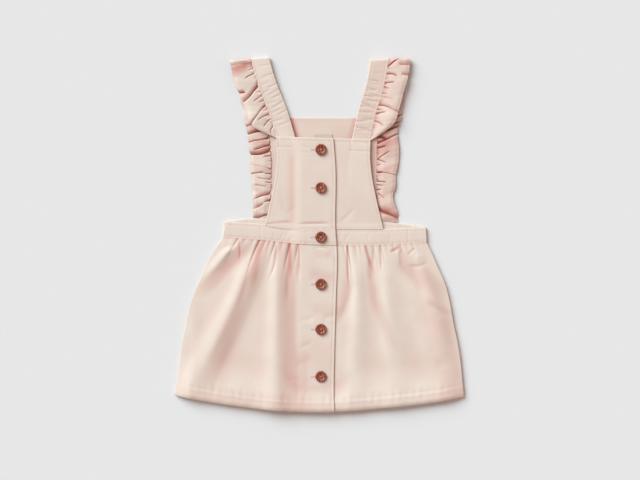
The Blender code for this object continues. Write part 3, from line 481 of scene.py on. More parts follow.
# One side's strap and ruffle: the seam they share, down the front and down the back, and their tables.
Ribbon = namedtuple("Ribbon", "front_seam back_seam front_pleats back_pleats widths wrinkles")
RIGHT_RIBBON = Ribbon(
    RIGHT_FRONT_SEAM, RIGHT_BACK_SEAM, RIGHT_FRONT_PLEATS, RIGHT_BACK_PLEATS,
    RIGHT_WIDTHS, RIGHT_STRAP_WRINKLES,
)
LEFT_RIBBON = Ribbon(
    LEFT_FRONT_SEAM, LEFT_BACK_SEAM, LEFT_FRONT_PLEATS, LEFT_BACK_PLEATS,
    LEFT_WIDTHS, LEFT_STRAP_WRINKLES,
)

BUTTON_X = 1.2
BUTTON_YS = (110.5, 61.0, -2.8, -63.7, -122.2, -183.3)
BUTTON_TURNS = (0.06, 0.2, 0.75, 0.4, 0.1, 0.3)  # how each button happens to be turned, in radians
BUTTON_HOLE_RADIUS = 1.05
BUTTON_HOLE_OFFSET = 1.7
THREAD_HEIGHT = 1.75  # of the threads in a button's dish, above its underside
Turn = namedtuple("Turn", "out up")
BUTTON_SECTION = table_of(
    Turn,
    (0, 1.65), (2.6, 1.62), (3.9, 1.68), (4.5, 1.95), (4.95, 2.45), (5.5, 2.68), (6.2, 2.7), (6.8, 2.5),
    (7.2, 2.1), (7.3, 1.6), (7.15, 1.05), (6.4, 0.45), (5.2, 0), (0, 0),
)
BUTTON_SIDES = 48  # how many faces it has round its rim

LABEL_WIDTH = 23.0
LABEL_HEIGHT = 12.0
LABEL_CENTRE = (4.2, 125.0)  # x and y

STITCH_LENGTH = 2.5
STITCH_PITCH = 3.3
STITCH_WIDTH = 0.55
STITCH_RISE = 0.22
STITCH_LIFT = 0.1  # of a stitch's middle above the cloth
GROOVE = 0.8  # half the width of the groove that a row of stitches or a join presses into the cloth
PLACKET_GROOVE = 0.8944  # the same on the skirt's placket
# How far the rows of stitches lie in from the edges that they follow.
BAND_INSET = 2.4
STRAP_INSET = 2.4
BIB_TOP_INSET = 3.2
BIB_SIDE_INSET = 2.2
LAP_INSET = 3.0
PLACKET_INSET = 3.2
BACK_TOP_INSET = 3.4
BACK_SIDE_INSET = 3.0
BAR_PITCH = 0.75  # of the close stitches along a buttonhole
BUTTONHOLE_LENGTH = 19.0
BUTTONHOLE_WIDTH = 2.6
BUTTONHOLE_SHIFT = 3.6  # how far west of its button a buttonhole's middle is

# The next two set the painted shade in the cloth's hollows.
HOLLOW_DEPTH = 1.6  # how far below its neighbours a point counts as 1 deep; no point counts as over 0.6
EDGE_CALM = (1.0, 8.0)  # between which distances from the cloth's edge its hollows come to their full depth
WAVES_PER_METRE = 1000 / 3.3  # the scale at which a wave texture's lines are 1 mm apart
FLOOR_REACH = 4.0  # metres
VIEW_WIDTH = 0.832  # metres of the floor that the photograph shows from side to side


# ---------------------------------------------------------------- curves


def smooth(low, high, x):
    """0 below low, 1 above high, and an S-curve between."""
    share = np.clip((x - low) / (high - low), 0.0, 1.0)
    return share * share * (3 - 2 * share)


def between(first, last, share):
    """The value at a share of the way from first to last."""
    return first + (last - first) * share


def bell(x, middle, width):
    """1 at the middle, falling like a bell to both sides: 0.37 at one width from it."""
    return np.exp(-(((x - middle) / width) ** 2))


def curve_through(xs, ys, x):
    """A smooth curve through the points (xs, ys), read at x: cubic pieces whose slope at each point is
    the mean of the slopes beside it."""
    xs, ys = np.asarray(xs, float), np.asarray(ys, float)
    x = np.clip(x, xs[0], xs[-1])
    steps = np.diff(ys) / np.diff(xs)
    slopes = np.concatenate([steps[:1], (steps[:-1] + steps[1:]) / 2, steps[-1:]])
    i = np.clip(np.searchsorted(xs, x) - 1, 0, len(xs) - 2)
    width = xs[i + 1] - xs[i]
    t = (x - xs[i]) / width
    return (
        ys[i] * (1 + 2 * t) * (1 - t) ** 2
        + ys[i + 1] * t * t * (3 - 2 * t)
        + width * slopes[i] * t * (1 - t) ** 2
        - width * slopes[i + 1] * t * t * (1 - t)
    )


def reader(table, key, value):
    """A function that reads the column value of a table at places along the column key."""
    rows = sorted(table, key=lambda row: getattr(row, key))
    places, values = [getattr(row, key) for row in rows], [getattr(row, value) for row in rows]
    return lambda at: curve_through(places, values, at)


def seam_distances(seam):
    """The distance along the seam from its first row to each row."""
    x, y = np.array([row.x for row in seam]), np.array([row.y for row in seam])
    return np.concatenate([[0.0], np.cumsum(np.hypot(np.diff(x), np.diff(y)))])


def along_seam(seam, distance):
    """Points (x, y) at these distances from the seam's first row, and the direction of the seam there.
    Past its ends the seam goes straight on."""
    reached = seam_distances(seam)
    inside = np.clip(distance, 0.0, reached[-1])

    def at(d):
        return np.stack([curve_through(reached, [getattr(s, k) for s in seam], d) for k in "xy"], axis=-1)

    direction = at(np.minimum(inside + 0.5, reached[-1])) - at(np.maximum(inside - 0.5, 0.0))
    direction = direction / np.linalg.norm(direction, axis=-1, keepdims=True)
    return at(inside) + direction * (distance - inside)[..., None], direction


def waver(x, *turns):
    """A slow irregular wave between about -1 and 1: the mean of sines, each with a length and a start."""
    return sum(np.sin(tau * x / length + start) for length, start in turns) / len(turns)


def crease_depth(creases, x, y, steep=2):
    """The depth of the listed creases: along each one's bowed line a bell-shaped trough, with steeper
    sides for a higher power, which fades in and out over the first and the last quarter of the line."""
    # For a table of shades, what this gives is the painted shade there, not a depth.
    total = np.zeros(np.broadcast(x, y).shape)
    for c in creases:
        dx, dy = c.x2 - c.x1, c.y2 - c.y1
        length = np.hypot(dx, dy)
        along = ((x - c.x1) * dx + (y - c.y1) * dy) / length**2
        aside = ((x - c.x1) * dy - (y - c.y1) * dx) / length
        aside = aside + c.bow * np.sign(dy or 1) * 4 * along * (1 - along)
        fade = smooth(-0.12, 0.22, along) * smooth(1.12, 0.72, along)
        total = total + c.depth * np.exp(-np.abs(aside / c.width) ** steep) * fade
    return total


# Readers that give y of the edges that run across, at x.
waist_at = reader(WAIST_SEAM, "x", "y")
hem_at = reader(HEM, "x", "y")
band_top_at = reader(BAND_TOP, "x", "y")
back_band_top_at = reader(BACK_BAND_TOP, "x", "y")
bib_top_at = reader(BIB_TOP, "x", "y")
# Readers that give x of the edges that run up, at y. The skirt's sides are read at the share of the way down.
lap_edge = reader(LAP_EDGE, "y", "x")
band_side_right = reader(BAND_SIDES, "y", "right")
band_side_left = reader(BAND_SIDES, "y", "left")
bib_side_right = reader(BIB_RIGHT_SIDE, "y", "x")
bib_side_left = reader(BIB_LEFT_SIDE, "y", "x")
skirt_side_right = reader(SKIRT_SIDES, "share", "right")
skirt_side_left = reader(SKIRT_SIDES, "share", "left")
back_seam_right = reader(RIGHT_BACK_SEAM, "y", "x")
back_seam_left = reader(LEFT_BACK_SEAM, "y", "x")


def underlap_edge(y):
    """x of the left front's edge, which the right front hides."""
    return UNDERLAP_X + 0 * y


# ---------------------------------------------------------------- the cloth's surfaces
# Each surface is a function of two shares from 0 to 1, first across (west to east, or along a ribbon) and
# then up or down, and gives x, y and z of the middle of the wall.


def fold_height(fold, x, y):
    """Height that one fold adds: a bell across its crest, or a long slope on the east side of a wide one,
    which rises from its top and sinks to its foot."""
    down = np.clip((fold.top_y - y) / (fold.top_y - fold.foot_y), 0.0, 1.2)
    straight = between(fold.top_x, fold.foot_x, down)
    bulge = fold.bend_x - (fold.top_x + fold.foot_x) / 2
    aside = x - (straight + 4 * bulge * down * (1 - down))
    spread = 0.55 + 0.6 * np.minimum(down, 1.0)
    fade = 1 - (1 - fold.left_at_foot) * smooth(0.55, 1.05, down)
    if fold.width_east > LONG_FALL:
        reach = aside / (fold.width_east * (0.7 + 0.3 * down))
        fallen = (np.hypot(reach, 0.15) - np.hypot(reach - 1, 0.15) + 1) / 2
        crest = bell(np.minimum(aside, 0.0), 0.0, fold.width_west * spread) * (1 - fallen)
    else:
        crest = bell(aside, 0.0, np.where(aside < 0, fold.width_west, fold.width_east) * spread)
    return fold.height * crest * smooth(0.0, 0.22, down) * fade


def gather_height(gathers, side_x, waist_x, below):
    """Height that the gathers add, below the place waist_x on the waist seam: round puffs with sharp
    valleys at the table's rows, which die away down the skirt."""
    start = np.sign(side_x) * PLACKET_X
    rows = [Gather(start, 0.0, gathers[0].length), *gathers, Gather(side_x, 0.0, gathers[-1].length)]
    rows.sort(key=lambda row: row.x)
    x, depth, length = (np.array(column, float) for column in zip(*rows))
    place = np.arange(len(rows), dtype=float)
    place[0], place[-1] = 0.5, len(rows) - 1.5
    puff = np.abs(np.sin(pi * np.interp(waist_x, x, place))) ** GATHER_SHARPNESS
    height = (puff * (1 + PUFF_SHARE) - 1) * np.interp(waist_x, x, depth) * GATHER_GAIN
    return height * bell(below, 0.0, np.interp(waist_x, x, length))


def skirt_front_z(x, y, below, side_distance):
    """Height of the wall's middle on the skirt's front, without its gathers and its lap."""
    share = np.clip(below / SKIRT_LENGTH, 0.0, 1.0)
    base = between(SKIRT_WAIST_Z, SKIRT_BODY_Z, smooth(0.0, 0.35, share))
    base = base + (SKIRT_HEM_Z - SKIRT_BODY_Z) * smooth(0.45, 1.0, share)
    lift_starts = 0.84 - 0.14 * smooth(20.0, 60.0, np.abs(x))
    base = base + HEM_LIFT * smooth(lift_starts, 0.99, share)
    folds = sum(fold_height(fold, x, y) for fold in SKIRT_FOLDS)
    inward = np.sqrt(smooth(0.0, np.where(x > 0, *SIDE_SLOPES), side_distance))
    side = between(BAND_END_Z, SIDE_SEAM_Z, smooth(0.0, 0.15, share))
    return side + (base - side + folds) * inward


def lap_rise(x, wall):
    """How far the right front is lifted where it lies on the left one."""
    return (wall + SEAM_GAP) * smooth(*LAP_RAMP, x)


def hem_relief(x, below_hem):
    """What the hem adds to the height, at a distance up from its edge: small puckers along its stitches,
    the line they press in with a ridge below it, and the edge's waves and its roll down."""
    from_stitches = below_hem - HEM_DEPTH
    pucker = 0.3 * waver(x, (9.0, 0.0), (13.0, 2.0), (31.0, 1.0)) * bell(from_stitches, 0.0, 7.0)
    pressed = -0.45 * bell(from_stitches, 0.0, 1.0)
    ridge = 0.3 * bell(from_stitches, -3.0, 1.8)
    edge = 0.3 * waver(x, (17.0, 1.0), (41.0, 0.5)) * bell(below_hem, 0.0, 6.0)
    roll = -1.7 * np.clip(1 - below_hem / 5.0, 0.0, 1.0) ** 2
    return pucker + pressed + ridge + edge + roll


def skirt_half(edge_x_at, side_x_at, gathers, creases, lifted):
    """The surface of half of the skirt's front, from its placket edge to its side seam. Its lines down
    the cloth fan out from the waist to the hem."""
    waist_side, hem_side = side_x_at(0.0), side_x_at(1.0)
    waist_edge, hem_edge = edge_x_at(waist_at(0.0)), edge_x_at(hem_at(0.0))

    def surface(across, share):
        waist_x = between(waist_edge, waist_side, across)
        waist_y = waist_at(waist_x) - SEAM_CREVICE
        hem_y = hem_at(between(hem_edge, hem_side, across)) + HEM_WALL / 2 + HEM_SHOWS
        y = between(waist_y, hem_y, share)
        edge_x, side_x = edge_x_at(y), side_x_at(share)
        x = between(edge_x, side_x, across)
        side_distance = np.abs(side_x - x)
        inside = smooth(0.0, SIDE_CALM, side_distance)
        waves = gather_height(gathers, waist_side, waist_x, waist_y - y) - crease_depth(creases, x, y)
        z = skirt_front_z(x, y, waist_y - y, side_distance) + waves * inside
        z = z + hem_relief(x, y - hem_y) * (0.3 + 0.7 * inside)
        if lifted:
            placket = bell(np.abs(edge_x - x), PLACKET_INSET, PLACKET_GROOVE)
            z = z + lap_rise(x, SOLID_SKIRT) - 0.22 * placket
        return np.stack([x, y, z], axis=-1)

    return surface


def skirt_back(across, share):
    """The surface of the skirt's back in one piece, gathered all the way along the back waistband."""
    right_x, left_x = skirt_side_right(share), skirt_side_left(share)
    x = between(right_x, left_x, across)
    from_side = np.minimum(x - right_x, left_x - x)
    waist_y = waist_at(between(WAIST_SEAM[0].x, WAIST_SEAM[-1].x, across)) - SEAM_CREVICE
    hem_y = hem_at(between(HEM[0].x, HEM[-1].x, across)) + HEM_WALL / 2
    y = between(waist_y, hem_y, share)
    inside = smooth(0.0, SIDE_CALM, from_side)
    phase = across * BACK_GATHERS + 0.4 * waver(across, (0.13, 0.0), (0.29, 1.0))
    wave = np.abs(np.cos(pi * phase)) ** GATHER_SHARPNESS * BACK_GATHER_HEIGHT
    wave = wave * bell(waist_y - y, 0.0, BACK_GATHER_LENGTH) * inside
    soft = 0.35 * (1 + waver(x, (83.0, 0.0), (57.0, 2.0))) * smooth(0.1, 0.5, share) * inside
    curl = BACK_SIDE_RISE * smooth(BACK_SIDE_REACH, 0.0, from_side) * smooth(0.0, 0.15, share)
    return np.stack([x, y, SOLID_SKIRT / 2 + wave + soft + curl], axis=-1)


def band_half(first_x, last_x, lifted):
    """The surface of half of the front waistband. first_x and last_x give its ends at the height y."""

    def surface(across, up):
        x = between(first_x(0.0), last_x(0.0), across)
        low, high = waist_at(x), band_top_at(x)
        y = between(low, high, up)
        x = between(first_x(y), last_x(y), across)
        side_distance = np.minimum(x - band_side_right(y), band_side_left(y) - x)
        z = between(BAND_END_Z, BAND_FRONT_Z, smooth(0.0, SIDE_CALM, side_distance))
        from_edge = np.minimum(y - low, high - y)
        puff = 0.35 * np.sqrt(np.clip(from_edge / 7.0, 0.0, 1.0)) - 0.2
        pressed = -0.25 * bell(from_edge, BAND_INSET, GROOVE)
        pucker = 0.16 * waver(x, (7.5, 0.0), (11.0, 1.0), (5.1, 2.0)) * bell(from_edge, 0.0, 4.0)
        z = z + puff + pressed + pucker - crease_depth(BAND_CREASES, x, y)
        for join in BAND_JOINS:
            z = z - 0.3 * bell(x, join, GROOVE)
        if lifted:
            z = z + lap_rise(x, SOLID_BAND)
        return np.stack([x, y, z], axis=-1)

    return surface


def band_back(across, up):
    """The surface of the back waistband, flat on the table, with its small puckers on the upper side."""
    x = between(band_side_right(0.0), band_side_left(0.0), across)
    low, high = waist_at(x), back_band_top_at(x)
    y = between(low, high, up)
    x = x + 0 * y
    from_edge = np.minimum(y - low, high - y)
    z = SOLID_BAND / 2 + 0.15 * waver(x, (7.5, 0.0), (11.0, 1.0)) * bell(from_edge, 0.0, 4.0)
    return np.stack([x, y, z - 0.2 * bell(from_edge, BAND_INSET, GROOVE)], axis=-1)


def bib_half(first_x, last_x, lifted):
    """The surface of half of the bib, from the waistband to its top edge. It lies higher over the straps'
    ends than at its foot."""
    foot_y, top_y = BAND_TOP[-1].y, BIB_TOP[0].y

    def surface(across, up):
        low = band_top_at(between(first_x(foot_y), last_x(foot_y), across)) + SEAM_CREVICE
        top = bib_top_at(between(first_x(top_y), last_x(top_y), across))
        y = between(low, top, up)
        west, east = first_x(y), last_x(y)
        x = between(west, east, across)
        z = between(BIB_FOOT_Z, BIB_TOP_Z, smooth(*BIB_SLOPE, y)) - crease_depth(BIB_CREASES, x, y)
        outer = (x - west) if lifted else (east - x)
        sewn_rows = [(top - y, BIB_TOP_INSET), (outer, BIB_SIDE_INSET)]
        if lifted:
            sewn_rows.append((np.abs(east - x), LAP_INSET))
        pressed = -0.24 * sum(bell(distance, inset, GROOVE) for distance, inset in sewn_rows)
        roll = 0.35 * np.exp(-((y - low) / 3.0)) + 0.3 * bell(y - low, 4.0, 2.4)
        pucker = 0.16 * waver(x + y, (8.3, 0.0), (12.1, 1.0)) * bell(np.minimum(outer, top - y), 0.0, 5.0)
        z = z + pressed + roll + pucker
        if lifted:
            z = z + lap_rise(x, SOLID_BIB)
        return np.stack([x, y, z], axis=-1)

    return surface


def bib_back(across, up):
    """The surface of the back bib, between the two ruffles' seams, from its waistband to its top edge."""
    foot_x = between(RIGHT_BACK_SEAM[-1].x, LEFT_BACK_SEAM[-1].x, across)
    y = between(back_band_top_at(foot_x) + SEAM_GAP, BACK_BIB_TOP_Y, up)
    west = back_seam_right(y) + SEAM_GAP / 2
    east = back_seam_left(y) - SEAM_GAP / 2
    x = between(west, east, across)
    pressed = -0.2 * bell(BACK_BIB_TOP_Y - y, BACK_TOP_INSET, GROOVE)
    for distance in (x - west, east - x):
        pressed = pressed - 0.2 * bell(distance, BACK_SIDE_INSET, GROOVE)
    soft = 0.18 * waver(x + 0.4 * y, (61.0, 0.0), (37.0, 2.0)) + 0.12 * waver(y - 0.3 * x, (43.0, 1.0))
    return np.stack([x, y, SOLID_BIB / 2 + 0.1 + soft + pressed], axis=-1)


def folded_over(ribbon, path, fold_radius, front_z, back_z, outward):
    """Points of a ribbon that comes up the front, folds over at the shoulder and goes down the back, and
    the direction of its seam there.

    path: distance along the ribbon from the top of the fold, negative on the front. The fold is half a
    circle of fold_radius between the heights front_z and back_z. outward: how far out from the seam.
    """
    quarter = pi / 2 * fold_radius
    turn = np.clip(path / quarter, -1.0, 1.0) * pi / 2
    down = fold_radius * (1 - np.cos(turn)) + np.maximum(np.abs(path) - quarter, 0.0)
    front, front_way = along_seam(ribbon.front_seam, down)
    back, back_way = along_seam(ribbon.back_seam, down)
    on_front = (path < 0)[..., None]
    place = np.where(on_front, front, back)
    way = np.where(on_front, front_way, back_way)
    away = np.stack([way[..., 1], -way[..., 0]], axis=-1)
    away = away * np.sign(ribbon.front_seam[0].x) * np.sign(away[..., :1])
    tilt = -FOLD_TILT * outward * bell(down, 0.0, FOLD_TILT_REACH)
    place = place + away * outward[..., None] + way * tilt[..., None]
    z = (front_z + back_z) / 2 - (front_z - back_z) / 2 * np.sin(turn)
    return np.concatenate([place, z[..., None]], axis=-1), way


def path_end(seam_length):
    """The distance along the ribbon at which it has covered this length of the seam."""
    return seam_length + (pi / 2 - 1) * STRAP_FOLD_RADIUS


def strap_front_z(down, front_length):
    """Height of the middle of the strap's front leg at this distance from the shoulder."""
    return between(STRAP_FOLD_Z, STRAP_FOOT_Z, smooth(0.15, 0.9, down / front_length))


def strap(ribbon, tilt):
    """The surface of a shoulder strap, from behind the bib's top edge over the shoulder to the back bib. The
    tilt is how much higher its inner edge lies than the outer one."""
    front_length = seam_distances(ribbon.front_seam)[-1]
    back_y, lowest = [-row.y for row in ribbon.back_seam], BACK_BIB_TOP_Y + SEAM_GAP
    back_length = float(np.interp(-lowest, back_y, seam_distances(ribbon.back_seam)))
    first, last = -path_end(front_length), path_end(back_length)
    quarter = pi / 2 * STRAP_FOLD_RADIUS

    def surface(along, across):
        path, across = np.broadcast_arrays(between(first, last, along), across)
        outward = -STRAP_WIDTH * across - SEAM_GAP / 2
        from_edge = STRAP_WIDTH * np.minimum(across, 1 - across)
        relief = -0.25 * bell(from_edge, STRAP_INSET, GROOVE) - 0.25 * bell(from_edge, 0.0, 1.2)
        relief = relief + 0.5 * bell(STRAP_WIDTH * across, 1.1, 0.8)
        for w in ribbon.wrinkles:
            line = w.at + w.slant * (across - 0.5) + w.sag * (1 - (2 * across - 1) ** 2)
            reach = smooth(w.first - 0.1, w.first + 0.2, across) * smooth(w.last + 0.1, w.last - 0.2, across)
            relief = relief - w.depth * bell(np.abs(path), line, WRINKLE_WIDTH) * reach
        relief = (relief + tilt * (across - 0.5)) * smooth(0.0, 8.0, np.abs(path))
        front_z = strap_front_z(np.abs(path), front_length) + relief
        back_z = np.full(path.shape, SOLID_STRAP / 2)
        points, _ = folded_over(ribbon, path, STRAP_FOLD_RADIUS, front_z, back_z, outward)
        above_bib = np.maximum(points[..., 1], lowest)
        points[..., 1] = np.where(path > quarter, above_bib, points[..., 1])
        return points

    return surface


def pleat_lines(rows, distance, share):
    """For each crease, how far a point lies past its line, and how strong the crease is there: it fades
    where it begins and ends across the ruffle."""
    for row in rows:
        past = distance - row.seam - (row.edge - row.seam) * share**row.bow - 0.8 * row.lap
        past = past - 0.8 * np.sin(5.2 * share + 2.0 * row.seam)
        begun = smooth(row.first - 0.12, row.first + 0.06, share)
        yield row, past, begun * smooth(row.last + 0.14, row.last - 0.06, share)


def pleats(rows, distance, share):
    """How deep the creases cut into the petals' height, and how far each point is carried down the seam.
    A crease is a quarter of a sine down to its line and another up from it; the petal after it is
    carried back over the one before."""
    cut, carried = np.zeros(distance.shape), np.zeros(distance.shape)
    for row, past, strength in pleat_lines(rows, distance, share):
        reach = np.where(past < 0, -past / row.fall, past / row.rise)
        cut = cut + row.depth * strength * (1 - np.sin(pi / 2 * np.clip(reach, 0.0, 1.0)))
        back = np.sin(pi * np.clip(past / (1.8 * row.rise), 0.0, 1.0))
        carried = carried - row.lap * strength * back
    return cut, carried


def pleat_flush(rows, distance, share):
    """The painted shade in its creases, pink and dark, from 0 to 1: most on the side that falls to a line."""
    flush = np.zeros(distance.shape)
    for row, past, strength in pleat_lines(rows, distance, share):
        reach = np.where(past < 0, -past / (0.62 * row.fall), past / (0.5 * row.rise))
        flush = flush + strength * row.tone * bell(reach, 0.0, 1.0)
    return flush


def ruffle_ends(ribbon):
    """Signed distances from the shoulder of a ruffle's first and last ends, and its front length."""
    front_length = seam_distances(ribbon.front_seam)[-1] - STRAP_TUCK - RUFFLE_END_GAP
    return -path_end(front_length), path_end(seam_distances(ribbon.back_seam)[-1]), front_length


def seam_tucks(distance, share):
    """Height of the small tucks at a ruffle's seam: round waves of uneven pitch, which die away across it."""
    phase = distance / SEAM_GATHER_PITCH + 0.45 * waver(distance, (21.0, 0.0), (13.0, 1.0))
    tuck = np.abs(np.sin(pi * phase)) ** 0.8 * (0.7 + 0.3 * waver(distance, (17.0, 2.0)))
    return SEAM_GATHER_HEIGHT * tuck * bell(share, 0.0, SEAM_GATHER_REACH)


def ruffle(ribbon, back_petal):
    """The surface of a gathered strip along the strap's outer edge and the back bib's side. back_petal is
    the height of the petals that are seen there."""
    start, end, front_length = ruffle_ends(ribbon)
    width_at = reader(ribbon.widths, "at", "width")

    def surface(along, share):
        path, share = np.broadcast_arrays(between(start, end, along), share)
        distance = np.abs(path)
        on_back = path > 0
        taper = np.sin(pi / 2 * np.clip((path - start) / RUFFLE_TAPER, 0.0, 1.0))
        end_height = 0.3 + 0.7 * taper
        front_cut, front_carried = pleats(ribbon.front_pleats, distance, share)
        back_cut, back_carried = pleats(ribbon.back_pleats, distance, share)
        carried = np.where(on_back, back_carried, front_carried)
        calm = smooth(0.0, RUFFLE_CALM, distance) * smooth(-2.0, 9.0, end - path)
        grown = between(PETAL_AT_SEAM, 1, smooth(0.0, 0.4, share))
        back_height = between(HIDDEN_PETAL_HEIGHT, back_petal, smooth(*HIDDEN_REACH, distance))
        full = np.where(on_back, back_height, PETAL_HEIGHT)
        full = full * (1 + 0.12 * waver(distance, (37.0, 1.0), (23.0, 0.0)))
        cut = np.where(on_back, back_cut, front_cut)
        height = np.maximum(full * grown - cut * (0.28 + 0.57 * grown), 0.0) * calm * end_height
        scallop = 0.45 * (height - 3.0) * smooth(0.5, 1.0, share) * calm
        width = between(RUFFLE_END_WIDTH, width_at(path), taper) + scallop * taper
        radius = STRAP_FOLD_RADIUS + RUFFLE_FOLD_GROWTH * smooth(0.0, 1.0, share)
        rise = between(*RUFFLE_RISE, smooth(*RUFFLE_RISE_REACH, distance))
        front_z = strap_front_z(distance, front_length) + rise * smooth(0.0, 0.8, share) * taper

        ripple = 0.18 * waver(distance + 9 * share, (11.0, 0.0), (7.0, 2.0), (19.0, 1.0)) * calm * share
        roll = -0.9 * smooth(0.82, 1.0, share)
        height = height + seam_tucks(distance, share) * calm + ripple + roll
        back_z = SOLID_RUFFLE / 2 + np.where(on_back, np.maximum(height, 0.0), 1.0)
        mean = FRONT_PETAL_MEAN * grown * calm * end_height
        front_z = front_z + np.where(on_back, 0.0, height - mean)
        outward = SEAM_GAP / 2 + width * share
        points, way = folded_over(ribbon, path, radius, front_z, back_z, outward)
        points[..., :2] += way * (carried * smooth(0.0, 0.3, share) * calm * taper)[..., None]
        foot = back_band_top_at(points[..., 0]) + SEAM_GAP
        points[..., 1] = np.where(on_back, np.maximum(points[..., 1], foot), points[..., 1])
        return points

    return surface


def label(across, up):
    """The surface of the bare tape label on the inside of the back bib, with its folded ends raised."""
    x = LABEL_CENTRE[0] + LABEL_WIDTH * (across - 0.5)
    y = LABEL_CENTRE[1] + LABEL_HEIGHT * (up - 0.5)
    z = SOLID_BIB + SEAM_GAP + 0.3 + 0.2 * np.abs(2 * across - 1) ** 6 + 0.05 * np.sin(9 * across + 4 * up)
    return np.stack(np.broadcast_arrays(x, y, z), axis=-1)


# ---------------------------------------------------------------- the cloth's painted shade
# Each is a function of a surface's points and its two shares, and tells how much painted shade, pink and
# dark, the cloth gets there beyond what its own relief gives, with a little even tint on some pieces.


def ruffle_flush(ribbon, pocket_shade_strength, ground):
    """A ruffle's painted shade: in its creases, near the shoulder fold, between the tucks at its seam, and
    where the back lies deep beside the front's edge; with an uneven pinkness on the back, and ground added
    all over."""
    start, end, _ = ruffle_ends(ribbon)

    def flush(points, along, share):
        path, share = np.broadcast_arrays(between(start, end, along), share)
        distance = np.abs(path)
        front = pleat_flush(ribbon.front_pleats, distance, share) + 0.14 * smooth(8.0, 3.0, distance)
        # Painted shade where the back lies deep beside the front's edge.
        pocket_shade = pocket_shade_strength * smooth(*POCKET_STARTS, distance) * smooth(*POCKET_ENDS, distance)
        pocket_shade = pocket_shade * (1 - 0.7 * smooth(0.35, 0.9, share))
        blush = 0.08 + 0.12 * waver(distance + 12 * share, (29.0, 0.0), (17.0, 2.0))
        back = pleat_flush(ribbon.back_pleats, distance, share) + pocket_shade + blush
        # Painted shade in the small dark gaps between the tucks at the seam.
        tuck_shade = np.abs(np.cos(pi * distance / 3.1 + waver(distance, (19.0, 0.0), (13.0, 1.0)))) ** 3
        tuck_shade = tuck_shade * bell(share, 0.0, 0.07) * (0.5 + 0.45 * waver(distance, (31.0, 1.0), (11.0, 0.0)))
        return np.where(path > 0, back, front) + tuck_shade + ground

    return flush


def lap_shadow(x, y):
    """The painted shadow, warm and dark, that the right front's edge casts on the left front beside it."""
    return 0.8 * bell(x, lap_edge(y), 1.2)


def skirt_flush(shades, beside_lap):
    """The skirt front's painted shade: in its wide hollows, under the waistband's edge, on the hem and beside
    the lap.
    """

    def flush(points, across, share):
        x, y = points[..., 0], points[..., 1]
        total = crease_depth(shades, x, y, steep=4) + 0.32 * bell(waist_at(x) - y, 0.0, 1.3)
        from_hem = (1 - share) * SKIRT_LENGTH
        total = total + 0.12 * bell(from_hem, HEM_DEPTH, 1.0) + 0.1 * smooth(HEM_DEPTH + 4, 0.0, from_hem)
        return total + lap_shadow(x, y) if beside_lap else total

    return flush


def bib_right_flush(points, across, share):
    """The right bib's tint and painted shade: a little pink all over, and painted shade in its listed shades.
    """
    return FRONT_BLUSH + crease_depth(BIB_SHADES, points[..., 0], points[..., 1])


def left_front_flush(points, across, share):
    """The tint and painted shade of the left bib and waistband: a little pink all over, and painted shadow
    beside the right front.
    """
    return FRONT_BLUSH + lap_shadow(points[..., 0], points[..., 1])


def bib_back_flush(points, across, share):
    """The back bib's tint and painted shade: a little all over, and painted shadow beside the straps' inner
    edges and in the strips that show between the front bib's sides and the ruffles."""
    x, y = points[..., 0], points[..., 1]
    # The straps' inner edges are nearly straight, and pass y = 128.7 at x = -31.6 and x = 41.
    inner_right = x + 31.6 + 0.303 * (y - 128.7)
    inner_left = 41.0 + 0.25 * (y - 128.7) - x
    beside = 0.75 * bell(inner_right, 0.0, 4.0) + 0.3 * bell(inner_left, 0.0, 5.0)
    left_strip = 0.12 * smooth(-3.0, 0.0, x - bib_side_left(y)) * smooth(40.0, 90.0, y)
    right_strip = 0.02 * smooth(-3.0, 0.0, bib_side_right(y) - x)
    return 0.1 + beside * smooth(120.0, 128.0, y) + (left_strip + right_strip) * smooth(132.0, 122.0, y)


def even_flush(ground):
    """The same tint and painted shade all over a piece."""
    return lambda points, along, across: ground + 0.0 * points[..., 0]


# ---------------------------------------------------------------- meshes


def placed(name, data, finish=None):
    """A new object with this mesh, lamp or lens, in the scene; a mesh is given its finish."""
    if finish:
        data.materials.append(finish)
    made = bpy.data.objects.new(name, data)
    bpy.context.scene.collection.objects.link(made)
    return made


def fill_mesh(mesh, points, faces, uv=None, shade_tint=None):
    """Puts points in millimetres and faces with equal numbers of corners into a mesh, with the cloth's
    own flat coordinates in metres as its UV map and its painted shade, with a little tint, as an attribute."""
    count, corners = faces.shape
    mesh.vertices.add(len(points))
    mesh.vertices.foreach_set("co", (points * MM).astype(np.float32).ravel())
    mesh.loops.add(count * corners)
    mesh.loops.foreach_set("vertex_index", faces.astype(np.int32).ravel())
    mesh.polygons.add(count)
    mesh.polygons.foreach_set("loop_start", np.arange(0, count * corners, corners, dtype=np.int32))
    mesh.polygons.foreach_set("use_smooth", np.ones(count, dtype=bool))
    mesh.update(calc_edges=True)
    if uv is not None:
        layer = mesh.uv_layers.new(name="grain")
        layer.data.foreach_set("uv", (uv[faces.ravel()] * MM).astype(np.float32).ravel())
    if shade_tint is not None:
        layer = mesh.attributes.new("shade_tint", "FLOAT", "POINT")
        layer.data.foreach_set("value", shade_tint.astype(np.float32).ravel())
    mesh.validate()


def unit(vectors):
    """The same directions with a length of 1."""
    return vectors / np.maximum(np.linalg.norm(vectors, axis=-1, keepdims=True), 1e-9)


